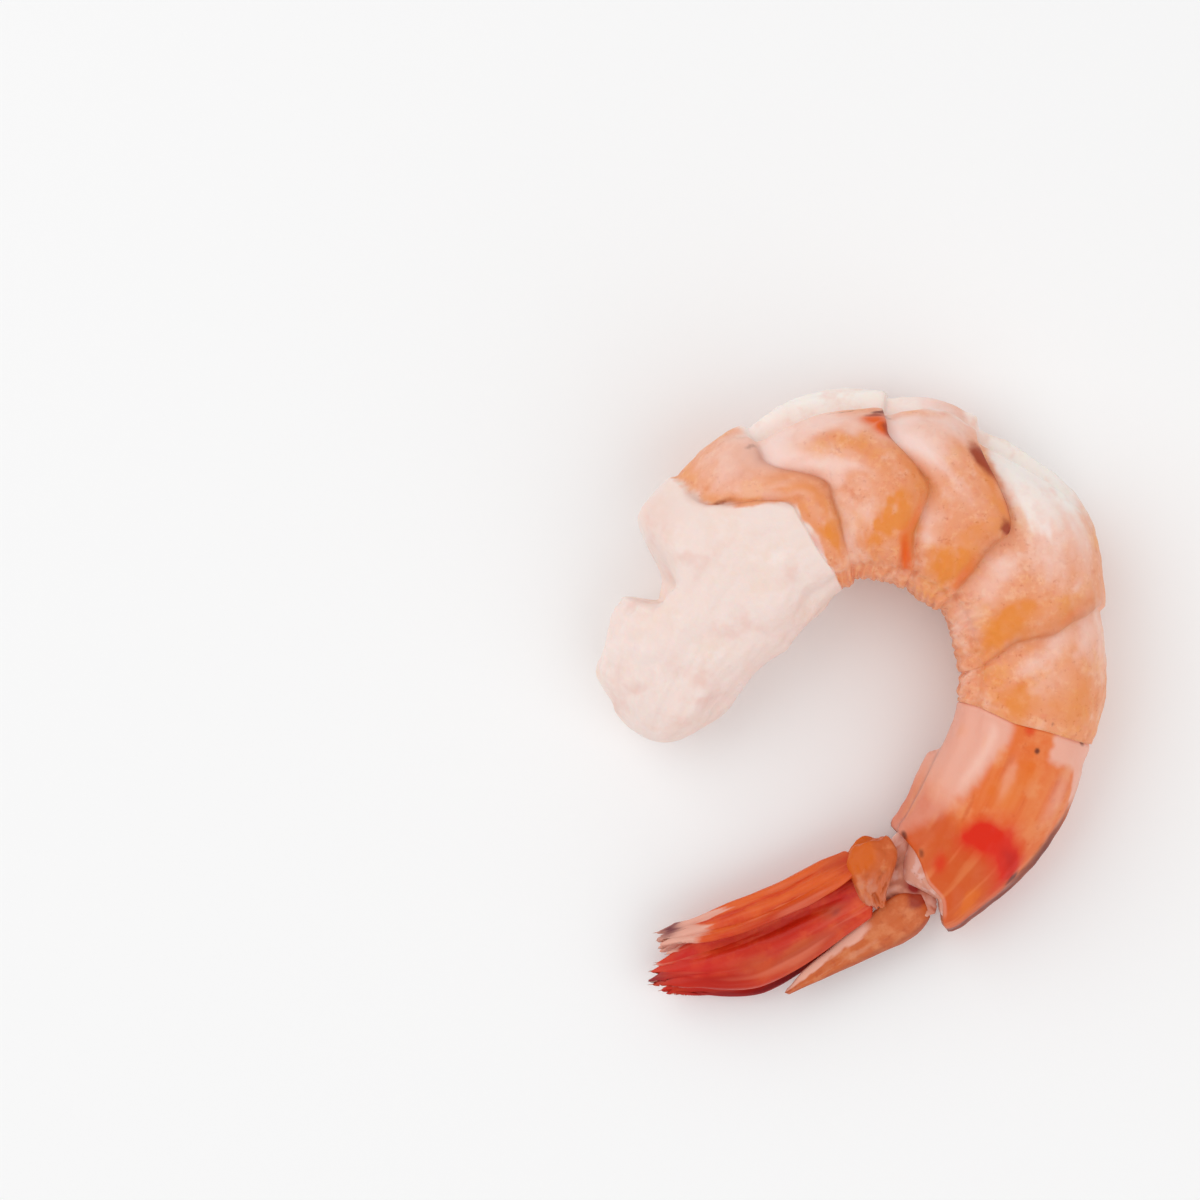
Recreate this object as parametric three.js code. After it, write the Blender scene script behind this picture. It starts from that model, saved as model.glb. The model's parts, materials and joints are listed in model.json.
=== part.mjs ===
// One cooked shrimp, peeled down to the tail shell and lying on its right side.
// Sizes are millimetres. X and Y lie on the table, Z is up, and the origin is the middle
// of the footprint. The body is a tube around a curved spine: "back" is the outside of
// the curl, "belly" the inside, and the left flank faces up.
import * as THREE from 'three';

// Body sizes along the spine, measured from the head end: how far along, the compass
// heading of the spine there in degrees, and the reach to the back, the belly and a side.
const STATIONS = [
  { at: 0.0, heading: 66, back: 5.6, belly: 4.2, side: 5.2 },
  { at: 5.0, heading: 64, back: 7.6, belly: 6.1, side: 6.2 },
  { at: 9.5, heading: 61, back: 8.9, belly: 7.2, side: 6.9 },
  { at: 16.0, heading: 52, back: 11.5, belly: 8.8, side: 7.8 },
  { at: 22.0, heading: 39.5, back: 11.2, belly: 8.5, side: 8.4 },
  { at: 28.0, heading: 21, back: 10.9, belly: 8.2, side: 8.6 },
  { at: 36.0, heading: -13, back: 10.6, belly: 8.2, side: 8.6 },
  { at: 42.5, heading: -33, back: 10.0, belly: 8.6, side: 8.3 },
  { at: 48.0, heading: -52, back: 9.9, belly: 8.2, side: 7.9 },
  { at: 54.0, heading: -75, back: 7.7, belly: 8.2, side: 7.3 },
  { at: 64.0, heading: -101.5, back: 6.6, belly: 7.8, side: 6.3 },
  { at: 74.0, heading: -118, back: 6.3, belly: 8.4, side: 5.6 },
  { at: 85.0, heading: -139, back: 4.3, belly: 7.1, side: 4.3 },
];
const SPINE_START = { x: -19.636, y: -2.683 };
const SPINE_FROM = -2;
const SPINE_TO = 87;
const SPINE_STEP = 0.25;
const SECTION_POWER = 2.3;

// The rear edge of each body ring lies over the next ring. On the back the edge lies
// nearer the head by "pull", which starts and is full at two cosines of the angle, and on
// the belly nearer the tail by "push".
const RING_EDGES = [
  { at: 24.9, pull: 6.0, pullFrom: 0.15, pullFull: 0.85, push: 0.5, step: 0.35 },
  { at: 28.6, pull: 3.8, pullFrom: 0.2, pullFull: 0.75, push: -0.8, step: 0.5 },
  { at: 37.5, pull: 4.0, pullFrom: 0.2, pullFull: 0.7, push: 2.0, step: 0.65 },
  { at: 45.7, pull: 6.3, pullFrom: 0.25, pullFull: 0.95, push: 1.0, step: 0.75 },
  { at: 55.8, pull: 1.4, pullFrom: 0.15, pullFull: 0.85, push: 3.5, step: 0.55 },
];
const SHELL_EDGE = { at: 64.8, pull: -0.2, pullFrom: 0.15, pullFull: 0.85, push: -1.2 };
const SHELL_RIM = { at: 84.2, pull: -1.5, pullFrom: 0.15, pullFull: 0.85, push: -1.7 };
const SLANT_START = { at: 10, pull: 0, pullFrom: 0.15, pullFull: 0.85, push: 0 };
const SLANT_ROWS = [SLANT_START, ...RING_EDGES, SHELL_EDGE, SHELL_RIM];
const PUSH_FROM = 0.2;
const STEP_LENGTH = 0.3;
const RING_SWELL = 0.35;
const RING_SPACING = 1.45;

// The stub of meat that goes into the tail shell, and the shell around it.
const SHELL_SETBACK = 0.25;
const SHELL_WALL = 0.6;
const GAP = 0.3;
const SHELL_FRONT = SHELL_EDGE.at + STEP_LENGTH + GAP;
const SHELL_INSIDE_END = 80.4;
const STUB_END = 79.5;
const FRONT_ROUNDING = 0.1;
const RIM_ROUNDING = 0.15;
const KEEL = { from: 66, full: 72, height: 0.3, width: 9 };
const PLEAT_SHARE = 0.5;
const GROOVE_SHARE = 0.4;

// The lower edge of the shell's far side, which shows beyond the belly.
const FAR_EDGE = { from: 71, full: 73, angle: -158, width: 8, height: 1.5 };

// Soft skin in the shell's rear opening: it starts inside the rim, is flat in the middle,
// and swells towards the fan around a place on the belly side.
const MEMBRANE = { lip: 0.7, recess: 0.6, bulge: 0.3, inset: 1.0 };
const JOINT_SKIN = { height: 1.6, belly: 3.1, up: 0.9, halfWidth: 2.4, halfHeight: 2.8 };
const MEMBRANE_SCALES = [0.88, 0.74, 0.6, 0.45, 0.3, 0.15];

// Head end: a rounded tip, a bite out of the back that leaves two lobes, and a flake.
const TIP = { at: -1.9, round: 4.4 };
const BITE = { from: 9.2, full: 10.9, easing: 12.2, to: 15.8, depth: 4.6, halfAngle: 62 };
const FLAKE = { at: 2.4, length: 0.9, angle: 6, spread: 18, height: 0.7 };

// The back is cut open: the near half ends in a lip, then a gutter, and beyond it
// the white face of the far half rises to the outline. At the bridge the cut is shallow.
const CUT = {
  from: 23, full: 27, easing: 41, to: 51,
  bridge: 37.4, bridgeLength: 2.8, bridgeShare: 0.8,
  gutter: 15, gutterWidth: 6, depth: 2.1,
  lip: 27, lipWidth: 12, drop: 0.8,
};

// Belly: a shallow groove along the middle and a crease on either side of it.
const BELLY_GROOVE = { depth: 0.7, width: 12 };
const BELLY_CREASE = { angle: 142, depth: 0.45, width: 6 };

// The soft body sinks a little and flattens where it rests; the shell stays clear.
const SINK = 0.65;
const FLATTEN = 0.5;
const SHELL_CLEAR = 0.15;

// Uneven meat: height and grain size of the unevenness at the head end and on the rings.
const LUMPS = { neck: 0.55, rings: 0.22, grain: 4.2 };

// Angles round the section, 0 at the back and 90 on the upper flank, in four stretches.
const ANGLE_STRETCHES = [
  { from: -14, to: 46, steps: 13 },
  { from: 46, to: 136, steps: 9 },
  { from: 136, to: 224, steps: 10 },
  { from: 224, to: 346, steps: 12 },
];

// Tail fan: a frame of its own, "along" towards the tips and "across" towards the back.
const FAN = { x: 5.364, y: -17.483, heading: -158, height: 4.7, droop: 1.1, length: 28 };
const BLADES = [
  {
    name: 'left_exopod', side: 1, from: 5.4, to: 25.4, start: -2.6, end: -2.7, bow: 0.9,
    base: 3.2, width: 3.2, tip: 1.5, crown: 3.3, crownAt: 1.0, curve: 0.12, waves: 3,
    skew: 0,
  },
  {
    name: 'left_endopod', side: 1, from: 5.35, to: 27.2, start: 0.8, end: 0.1, bow: 1.5,
    base: 4.9, width: 7.3, tip: 2.8, crown: 1.6, crownAt: 2.0, curve: 0.05, waves: 5,
    skew: 1.6,
  },
  {
    name: 'right_endopod', side: -1, from: 5.35, to: 26.6, start: 0.8, end: 1.6, bow: 1.6,
    base: 4.9, width: 7.0, tip: 2.8, crown: 1.5, crownAt: 2.2, curve: 0.05, waves: 5,
    skew: 1.2,
  },
  {
    name: 'right_exopod', side: -1, from: 5.4, to: 25.4, start: -2.3, end: -1.8, bow: 0.8,
    base: 3.2, width: 4.2, tip: 2.0, crown: 3.1, crownAt: 1.0, curve: 0.1, waves: 4,
    skew: 0,
  },
];
const BLADE_THICKNESS = 0.7;
const BLADE_EDGE = 0.4;
const BLADE_RIDGE = 0.22;
const BLADE_FRAY = { waves: 0.55, round: 1.6 };
const BLADE_ROWS = 14;
const BLADE_COLUMNS = 8;
const TELSON = {
  from: -0.65, to: 15.4, start: 4.2, end: 7.1, base: 4.6, taperFrom: 0.22, tip: 0.6,
  thick: 1.9, lift: -0.1, roll: 24,
};

// Stubs that carry the blades: the end at the shell is cut back by "slant" on one side.
const PROTOPOD = {
  along: 2.6, across: -0.9, height: 1.95, slant: 2.5, slantFrom: -1.5, slantTo: 3.0,
  fullness: 0.45, halfLength: 2.5, halfWidth: 3.05, halfHeight: 1.5, lump: 0.12,
};

const COLOURS = {
  meat: 0xf2cfbc,
  shell: 0xe8844f,
  blade: 0xc93a1c,
  telson: 0xdc7a4c,
  protopod: 0xdf8350,
};

const rad = THREE.MathUtils.degToRad;
const clamp01 = (t) => Math.min(1, Math.max(0, t));

function ease(from, to, value) {
  const t = clamp01((value - from) / (to - from));
  return t * t * (3 - 2 * t);
}

function bump(value, middle, width) {
  const t = (value - middle) / width;
  return Math.exp(-t * t);
}

// Smooth curve through the rows of a table: a cubic between neighbouring rows.
function follow(rows, key, at) {
  const last = rows.length - 1;
  const slope = (i) => {
    const a = rows[Math.max(0, i - 1)];
    const b = rows[Math.min(last, i + 1)];
    return (b[key] - a[key]) / (b.at - a.at);
  };
  let i = 0;
  while (i < last - 1 && at > rows[i + 1].at) {
    i += 1;
  }
  const span = rows[i + 1].at - rows[i].at;
  const t = (at - rows[i].at) / span;
  if (t < 0) {
    return rows[0][key];
  }
  if (t > 1) {
    return rows[last][key] + slope(last) * (at - rows[last].at);
  }
  const t2 = t * t;
  const t3 = t2 * t;
  return (2 * t3 - 3 * t2 + 1) * rows[i][key]
    + (t3 - 2 * t2 + t) * span * slope(i)
    + (3 * t2 - 2 * t3) * rows[i + 1][key]
    + (t3 - t2) * span * slope(i + 1);
}

// Straight line between the rows of the slant table; outside it the end rows hold.
function slantValue(key, at) {
  let previous = SLANT_ROWS[0];
  for (const row of SLANT_ROWS.slice(1)) {
    if (at <= row.at) {
      const t = clamp01((at - previous.at) / (row.at - previous.at));
      return previous[key] + (row[key] - previous[key]) * t;
    }
    previous = row;
  }
  return previous[key];
}

// The spine is walked once in short steps, turning to the heading of each place.
const spine = [];
{
  let x = SPINE_START.x;
  let y = SPINE_START.y;
  for (let at = 0; at >= SPINE_FROM; at -= SPINE_STEP) {
    spine.unshift({ at, x, y });
    const heading = rad(follow(STATIONS, 'heading', at - SPINE_STEP / 2));
    x -= Math.cos(heading) * SPINE_STEP;
    y -= Math.sin(heading) * SPINE_STEP;
  }
  x = SPINE_START.x;
  y = SPINE_START.y;
  for (let at = SPINE_STEP; at <= SPINE_TO; at += SPINE_STEP) {
    const heading = rad(follow(STATIONS, 'heading', at - SPINE_STEP / 2));
    x += Math.cos(heading) * SPINE_STEP;
    y += Math.sin(heading) * SPINE_STEP;
    spine.push({ at, x, y });
  }
}

function spinePoint(at) {
  const place = Math.min(spine.length - 1.001, Math.max(0, (at - SPINE_FROM) / SPINE_STEP));
  const i = Math.floor(place);
  const t = place - i;
  return {
    x: spine[i].x + (spine[i + 1].x - spine[i].x) * t,
    y: spine[i].y + (spine[i + 1].y - spine[i].y) * t,
    heading: rad(follow(STATIONS, 'heading', at)),
  };
}

// Repeatable unevenness between -1 and 1, smooth between the corners of a unit grid.
function corner(ix, iy, iz) {
  const wave = Math.sin(ix * 127.1 + iy * 311.7 + iz * 74.7) * 43758.5453;
  return 2 * (wave - Math.floor(wave)) - 1;
}

function unevenness(x, y, z) {
  const ix = Math.floor(x);
  const iy = Math.floor(y);
  const iz = Math.floor(z);
  const fx = ease(0, 1, x - ix);
  const fy = ease(0, 1, y - iy);
  const fz = ease(0, 1, z - iz);
  let sum = 0;
  for (const dx of [0, 1]) {
    for (const dy of [0, 1]) {
      for (const dz of [0, 1]) {
        const share = (dx ? fx : 1 - fx) * (dy ? fy : 1 - fy) * (dz ? fz : 1 - fz);
        sum += share * corner(ix + dx, iy + dy, iz + dz);
      }
    }
  }
  return sum;
}

// Place along the spine of a point on ring "along" at an angle: the rings are slanted.
function slanted(along, angle) {
  const up = Math.cos(rad(angle));
  const pulled = ease(slantValue('pullFrom', along), slantValue('pullFull', along), up);
  return along
    - slantValue('pull', along) * pulled
    + slantValue('push', along) * ease(PUSH_FROM, 1, -up);
}

// Plain section: a rounded oval with its own reach to the back, the belly and the sides.
function sectionRadius(at, angle) {
  const up = Math.cos(rad(angle));
  const out = Math.sin(rad(angle));
  const reach = follow(STATIONS, up > 0 ? 'back' : 'belly', at);
  const side = follow(STATIONS, 'side', at);
  const sum = (Math.abs(up) / reach) ** SECTION_POWER + (Math.abs(out) / side) ** SECTION_POWER;
  return sum ** (-1 / SECTION_POWER);
}

// Height of the ring relief: each ring swells in its middle and starts below the one before.
function ringRelief(along) {
  let start = { at: 0, step: 0 };
  for (const edge of [...RING_EDGES, { at: SHELL_EDGE.at, step: 0 }]) {
    if (along <= edge.at) {
      if (start.step === 0) {
        return 0;
      }
      const into = along - start.at;
      if (into < STEP_LENGTH) {
        return -start.step * into / STEP_LENGTH;
      }
      const t = (into - STEP_LENGTH) / (edge.at - start.at - STEP_LENGTH);
      return RING_SWELL * Math.sin(Math.PI * t) - start.step * (1 - t) ** 2;
    }
    start = edge;
  }
  return 0;
}

// Reach of the peeled meat, with every crease, lobe and cut.
function meatRadius(along, angle) {
  const at = slanted(along, angle);
  const turn = angle > 180 ? angle - 360 : angle;
  const up = Math.cos(rad(angle));
  let reach = sectionRadius(at, angle);

  const biteShare = ease(BITE.from, BITE.full, at) * (1 - ease(BITE.easing, BITE.to, at));
  reach -= BITE.depth * biteShare * ease(BITE.halfAngle, BITE.halfAngle / 3, Math.abs(turn));
  reach += FLAKE.height * bump(at, FLAKE.at, FLAKE.length) * bump(turn, FLAKE.angle, FLAKE.spread);

  const bridge = 1 - CUT.bridgeShare * bump(at, CUT.bridge, CUT.bridgeLength);
  const cutShare = ease(CUT.from, CUT.full, at) * (1 - ease(CUT.easing, CUT.to, at)) * bridge;
  reach -= CUT.depth * cutShare * bump(turn, CUT.gutter, CUT.gutterWidth);
  reach -= CUT.drop * cutShare * bump(turn, CUT.lip, CUT.lipWidth);

  const fromBelly = Math.abs(Math.abs(turn) - 180);
  reach -= BELLY_GROOVE.depth * ease(2, 12, at) * bump(fromBelly, 0, BELLY_GROOVE.width);
  const crease = bump(Math.abs(turn), BELLY_CREASE.angle, BELLY_CREASE.width);
  reach -= BELLY_CREASE.depth * ease(12, 26, at) * crease;

  reach += ringRelief(along) * (0.45 + 0.55 * ease(-0.9, 0, up));
  const lumpHeight = LUMPS.neck + (LUMPS.rings - LUMPS.neck) * ease(18, 27, along);
  reach += lumpHeight * (1 - ease(60, 64, along)) * unevenness(
    at / LUMPS.grain,
    3 + 1.7 * Math.cos(rad(angle)),
    7 + 1.7 * Math.sin(rad(angle)),
  );
  const past = (TIP.at + TIP.round - at) / TIP.round;
  return reach * Math.sqrt(Math.max(0, 1 - Math.max(0, past) ** 2));
}

// Outline that the shell and the stub share: a plain section with a low keel along the
// back, two shallow pleats and a groove along the belly.
function tailRadius(along, angle) {
  const at = slanted(along, angle);
  const turn = angle > 180 ? angle - 360 : angle;
  const fromBelly = Math.abs(Math.abs(turn) - 180);
  const keel = KEEL.height * ease(KEEL.from, KEEL.full, at) * bump(turn, 0, KEEL.width);
  const crease = bump(Math.abs(turn), BELLY_CREASE.angle, BELLY_CREASE.width);
  const pleat = PLEAT_SHARE * BELLY_CREASE.depth * crease;
  const groove = GROOVE_SHARE * BELLY_GROOVE.depth * bump(fromBelly, 0, BELLY_GROOVE.width);
  return sectionRadius(at, angle) - SHELL_SETBACK + keel - pleat - groove;
}

// Reach of the shell's outside, where the lower edge of the far side stands out.
function shellRadius(along, angle) {
  const turn = angle > 180 ? angle - 360 : angle;
  const farEdge = FAR_EDGE.height * ease(FAR_EDGE.from, FAR_EDGE.full, along)
    * bump(turn, FAR_EDGE.angle, FAR_EDGE.width);
  return tailRadius(along, angle) + farEdge;
}

// Height of the spine over the table: the meat rests, the shell just clears it.
function spineHeight(at) {
  const clear = ease(56, 67, at);
  return follow(STATIONS, 'side', at) - SINK * (1 - clear) + SHELL_CLEAR * clear;
}

// Soft meat under the table top is pressed flat, with a smooth change around its edge.
function flattened(z) {
  if (z >= FLATTEN) {
    return z;
  }
  return z <= -FLATTEN ? 0 : (z + FLATTEN) ** 2 / (4 * FLATTEN);
}

// A point of the body from its place along the spine, its angle and its reach.
function bodyPoint(at, angle, reach, soft) {
  const centre = spinePoint(at);
  const up = reach * Math.cos(rad(angle));
  const out = reach * Math.sin(rad(angle));
  const z = spineHeight(at) + out;
  return new THREE.Vector3(
    centre.x - Math.sin(centre.heading) * up,
    centre.y + Math.cos(centre.heading) * up,
    soft ? flattened(z) : z,
  );
}

// Closed skin over a stack of rings with a point at either end.
function skin(first, rings, last) {
  const positions = [first, ...rings.flat(), last];
  const count = rings[0].length;
  const at = (ring, k) => 1 + ring * count + (k + count) % count;
  const end = positions.length - 1;
  const faces = [];
  for (let k = 0; k < count; k += 1) {
    faces.push(0, at(0, k), at(0, k + 1));
    faces.push(end, at(rings.length - 1, k + 1), at(rings.length - 1, k));
  }
  for (let ring = 0; ring < rings.length - 1; ring += 1) {
    for (let k = 0; k < count; k += 1) {
      faces.push(at(ring, k), at(ring + 1, k), at(ring + 1, k + 1));
      faces.push(at(ring, k), at(ring + 1, k + 1), at(ring, k + 1));
    }
  }
  return solid(positions, faces);
}

// Geometry from corners and faces, turned right side out when the volume is negative.
function solid(points, faces) {
  let volume = 0;
  for (let i = 0; i < faces.length; i += 3) {
    const [a, b, c] = [points[faces[i]], points[faces[i + 1]], points[faces[i + 2]]];
    volume += a.dot(new THREE.Vector3().crossVectors(b, c));
  }
  if (volume < 0) {
    faces.reverse();
  }
  const geometry = new THREE.BufferGeometry();
  const coordinates = points.flatMap((p) => [p.x, p.y, p.z]);
  geometry.setAttribute('position', new THREE.Float32BufferAttribute(coordinates, 3));
  geometry.setIndex(faces);
  geometry.computeVertexNormals();
  return geometry;
}

const ANGLES = ANGLE_STRETCHES.flatMap(({ from, to, steps }) => (
  Array.from({ length: steps }, (_, i) => from + (to - from) * i / steps)
));

function stretch(from, to, steps) {
  return Array.from({ length: steps }, (_, i) => from + (to - from) * i / steps);
}

// The stub and the inside of the shell share their rings, so the gap between them is even.
const INSIDE_ALONGS = stretch(SHELL_FRONT, SHELL_INSIDE_END - 2, 7);

function meatGeometry() {
  const tipRings = [14, 32, 50, 68].map((a) => TIP.at + TIP.round * (1 - Math.cos(rad(a))));
  const alongs = [
    ...tipRings,
    ...stretch(TIP.at + TIP.round, BITE.from, 5),
    ...stretch(BITE.from, BITE.full, 1),
    ...stretch(BITE.full, BITE.easing, 1),
    ...stretch(BITE.easing, BITE.to, 3),
    ...stretch(BITE.to, RING_EDGES[0].at, 5),
  ];
  const ends = [...RING_EDGES.map((edge) => edge.at), SHELL_EDGE.at];
  for (let i = 0; i < RING_EDGES.length; i += 1) {
    const steps = Math.max(3, Math.round((ends[i + 1] - ends[i]) / RING_SPACING));
    alongs.push(ends[i], ...stretch(ends[i] + STEP_LENGTH, ends[i + 1], steps));
  }
  alongs.push(SHELL_EDGE.at);
  const rings = alongs.map((along) => ANGLES.map((angle) => (
    bodyPoint(slanted(along, angle), angle, meatRadius(along, angle), true)
  )));
  const inset = SHELL_WALL + GAP;
  rings.push(
    innerRing(SHELL_EDGE.at + STEP_LENGTH, inset),
    ...INSIDE_ALONGS.slice(1).map((along) => innerRing(along, inset)),
    innerRing(STUB_END - 2, inset, 0.97),
    innerRing(STUB_END - 0.8, inset, 0.8),
    innerRing(STUB_END - 0.1, inset, 0.4),
  );
  const first = bodyPoint(TIP.at, 0, 0, true);
  const last = bodyPoint(STUB_END, 0, 0, false);
  return skin(first, rings, last);
}

// One closed ring inside the shared outline, by an inset and a scale.
function innerRing(along, inset, scale = 1) {
  return ANGLES.map((angle) => (
    bodyPoint(slanted(along, angle), angle, (tailRadius(along, angle) - inset) * scale, false)
  ));
}

// One closed ring of the shell's outside, by an inset.
function outerRing(along, inset) {
  return ANGLES.map((angle) => (
    bodyPoint(slanted(along, angle), angle, shellRadius(along, angle) - inset, false)
  ));
}

// One ring of the skin in the rear opening. Its outer part follows the slant of the rim;
// "scale" is 1 at the rim and 0 in the middle.
function membraneRing(scale) {
  return ANGLES.map((angle) => {
    const reach = (shellRadius(SHELL_RIM.at, angle) - MEMBRANE.inset) * scale;
    const slantShare = 1 - ease(0.1, 0.6, 1 - scale);
    const slant = slanted(SHELL_RIM.at, angle) - SHELL_RIM.at;
    const fromBelly = -reach * Math.cos(rad(angle)) - JOINT_SKIN.belly;
    const fromTop = reach * Math.sin(rad(angle)) - JOINT_SKIN.up;
    const cushion = JOINT_SKIN.height * ease(0.1, 0.3, 1 - scale)
      * bump(fromBelly, 0, JOINT_SKIN.halfWidth) * bump(fromTop, 0, JOINT_SKIN.halfHeight);
    const bulge = MEMBRANE.bulge * ease(0.3, 1, 1 - scale);
    return bodyPoint(SHELL_RIM.at + slant * slantShare + bulge + cushion, angle, reach, false);
  });
}

// The shell is a cup. Its stack of rings starts deep inside, comes out to the front edge,
// runs back over the outside to the rear rim and ends with the soft skin of the rear.
function shellGeometry() {
  const rim = SHELL_RIM.at;
  const rings = [
    innerRing(SHELL_INSIDE_END - 0.1, SHELL_WALL, 0.4),
    innerRing(SHELL_INSIDE_END - 0.7, SHELL_WALL, 0.82),
    innerRing(SHELL_INSIDE_END - 2, SHELL_WALL),
    ...INSIDE_ALONGS.map((along) => innerRing(along, SHELL_WALL)).reverse(),
    outerRing(SHELL_FRONT, FRONT_ROUNDING),
    outerRing(SHELL_FRONT + 0.4, 0),
    ...stretch(SHELL_FRONT, rim, 10).slice(1).map((along) => outerRing(along, 0)),
    outerRing(rim, RIM_ROUNDING),
    outerRing(rim, MEMBRANE.lip),
    outerRing(rim - MEMBRANE.recess, MEMBRANE.inset),
    ...MEMBRANE_SCALES.map((scale) => membraneRing(scale)),
  ];
  const first = bodyPoint(SHELL_INSIDE_END, 0, 0, false);
  const middleRing = membraneRing(0);
  return skin(first, rings, middleRing[0]);
}

const fanAxis = new THREE.Vector3(Math.cos(rad(FAN.heading)), Math.sin(rad(FAN.heading)), 0);
const fanAcross = new THREE.Vector3(-fanAxis.y, fanAxis.x, 0);

// A point of the tail fan. Height is measured from the middle of the fan, which droops.
function fanPoint(along, across, height) {
  const middle = FAN.height - FAN.droop * clamp01(along / FAN.length);
  return new THREE.Vector3(FAN.x, FAN.y, middle + height)
    .addScaledVector(fanAxis, along)
    .addScaledVector(fanAcross, across);
}

// Thin leaf: the same grid of corners on both faces, joined round the edge.
function leaf(upper, lower) {
  const rows = upper.length;
  const columns = upper[0].length;
  const points = [...upper.flat(), ...lower.flat()];
  const top = (i, j) => i * columns + j;
  const under = (i, j) => rows * columns + i * columns + j;
  const faces = [];
  for (let i = 0; i < rows - 1; i += 1) {
    for (let j = 0; j < columns - 1; j += 1) {
      faces.push(top(i, j), top(i + 1, j), top(i + 1, j + 1));
      faces.push(top(i, j), top(i + 1, j + 1), top(i, j + 1));
      faces.push(under(i, j), under(i + 1, j + 1), under(i + 1, j));
      faces.push(under(i, j), under(i, j + 1), under(i + 1, j + 1));
    }
  }
  const wall = (a, b, c, d) => faces.push(a, b, c, a, c, d);
  for (let i = 0; i < rows - 1; i += 1) {
    wall(top(i + 1, 0), top(i, 0), under(i, 0), under(i + 1, 0));
    wall(top(i, columns - 1), top(i + 1, columns - 1), under(i + 1, columns - 1), under(i, columns - 1));
  }
  for (let j = 0; j < columns - 1; j += 1) {
    wall(top(0, j), top(0, j + 1), under(0, j + 1), under(0, j));
    wall(top(rows - 1, j + 1), top(rows - 1, j), under(rows - 1, j), under(rows - 1, j + 1));
  }
  return solid(points, faces);
}

// Middle surface of a fan blade; t runs from base to tip and q from edge to edge.
function bladePoint(blade, t, q) {
  const widen = blade.base + (blade.width - blade.base) * ease(0, 0.5, t);
  const narrow = blade.tip + (widen - blade.tip) * (1 - ease(0.55, 1.05, t));
  const line = blade.start + (blade.end - blade.start) * t;
  const across = line + blade.bow * 4 * t * (1 - t) + q * narrow / 2;
  const fray = BLADE_FRAY.waves * Math.cos(blade.waves * Math.PI * q)
    - BLADE_FRAY.round * q * q + blade.skew * q;
  const along = blade.from + (blade.to - blade.from) * t + fray * ease(0.75, 1, t);
  const ridge = BLADE_RIDGE * Math.cos(2.5 * Math.PI * q) * ease(0, 0.2, t) * (1 - ease(0.8, 1, t));
  const arch = blade.crown - blade.curve * (across - blade.crownAt) ** 2;
  return fanPoint(along, across, blade.side * (arch + ridge));
}

function bladeGeometry(blade) {
  const upper = [];
  const lower = [];
  for (let i = 0; i <= BLADE_ROWS; i += 1) {
    const t = i / BLADE_ROWS;
    const above = [];
    const below = [];
    for (let j = 0; j <= BLADE_COLUMNS; j += 1) {
      const q = 2 * j / BLADE_COLUMNS - 1;
      const step = 0.01;
      const middle = bladePoint(blade, t, q);
      const alongLeaf = bladePoint(blade, t + step, q).sub(bladePoint(blade, t - step, q));
      const acrossLeaf = bladePoint(blade, t, q + step).sub(bladePoint(blade, t, q - step));
      const normal = alongLeaf.cross(acrossLeaf).normalize();
      if (normal.z < 0) {
        normal.negate();
      }
      const edge = Math.max(Math.abs(q), ease(0.85, 1, t));
      const half = (BLADE_THICKNESS + (BLADE_EDGE - BLADE_THICKNESS) * ease(0.6, 1, edge)) / 2;
      above.push(middle.clone().addScaledVector(normal, half));
      below.push(middle.clone().addScaledVector(normal, -half));
    }
    upper.push(above);
    lower.push(below);
  }
  return leaf(upper, lower);
}

// The telson is a slim blunt wedge on the back side of the fan, rolled to face up.
function telsonGeometry() {
  const rows = 12;
  const corners = 12;
  const rings = [];
  for (let i = 0; i <= rows; i += 1) {
    const t = i / rows;
    const along = TELSON.from + (TELSON.to - TELSON.from) * t;
    const across = TELSON.start + (TELSON.end - TELSON.start) * t;
    const blunt = Math.sqrt(1 - (1 - Math.min(1, (t + 0.04) * 5)) ** 2);
    const taper = Math.min(1, (1 - t) / (1 - TELSON.taperFrom));
    const half = (TELSON.tip + (TELSON.base - TELSON.tip) * taper) / 2 * blunt;
    const thick = TELSON.thick / 2 * (1 - 0.6 * t) * blunt;
    rings.push(Array.from({ length: corners }, (_, k) => {
      const turn = 2 * Math.PI * k / corners;
      const wide = half * Math.cos(turn);
      const high = thick * Math.sin(turn) * (Math.sin(turn) > 0 ? 1 : 0.8);
      const roll = rad(TELSON.roll);
      return fanPoint(
        along,
        across + wide * Math.cos(roll) + high * Math.sin(roll),
        TELSON.lift - wide * Math.sin(roll) + high * Math.cos(roll),
      );
    }));
  }
  const first = fanPoint(TELSON.from - 0.25, TELSON.start, TELSON.lift);
  const last = fanPoint(TELSON.to + 0.35, TELSON.end, TELSON.lift);
  return skin(first, rings, last);
}

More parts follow.
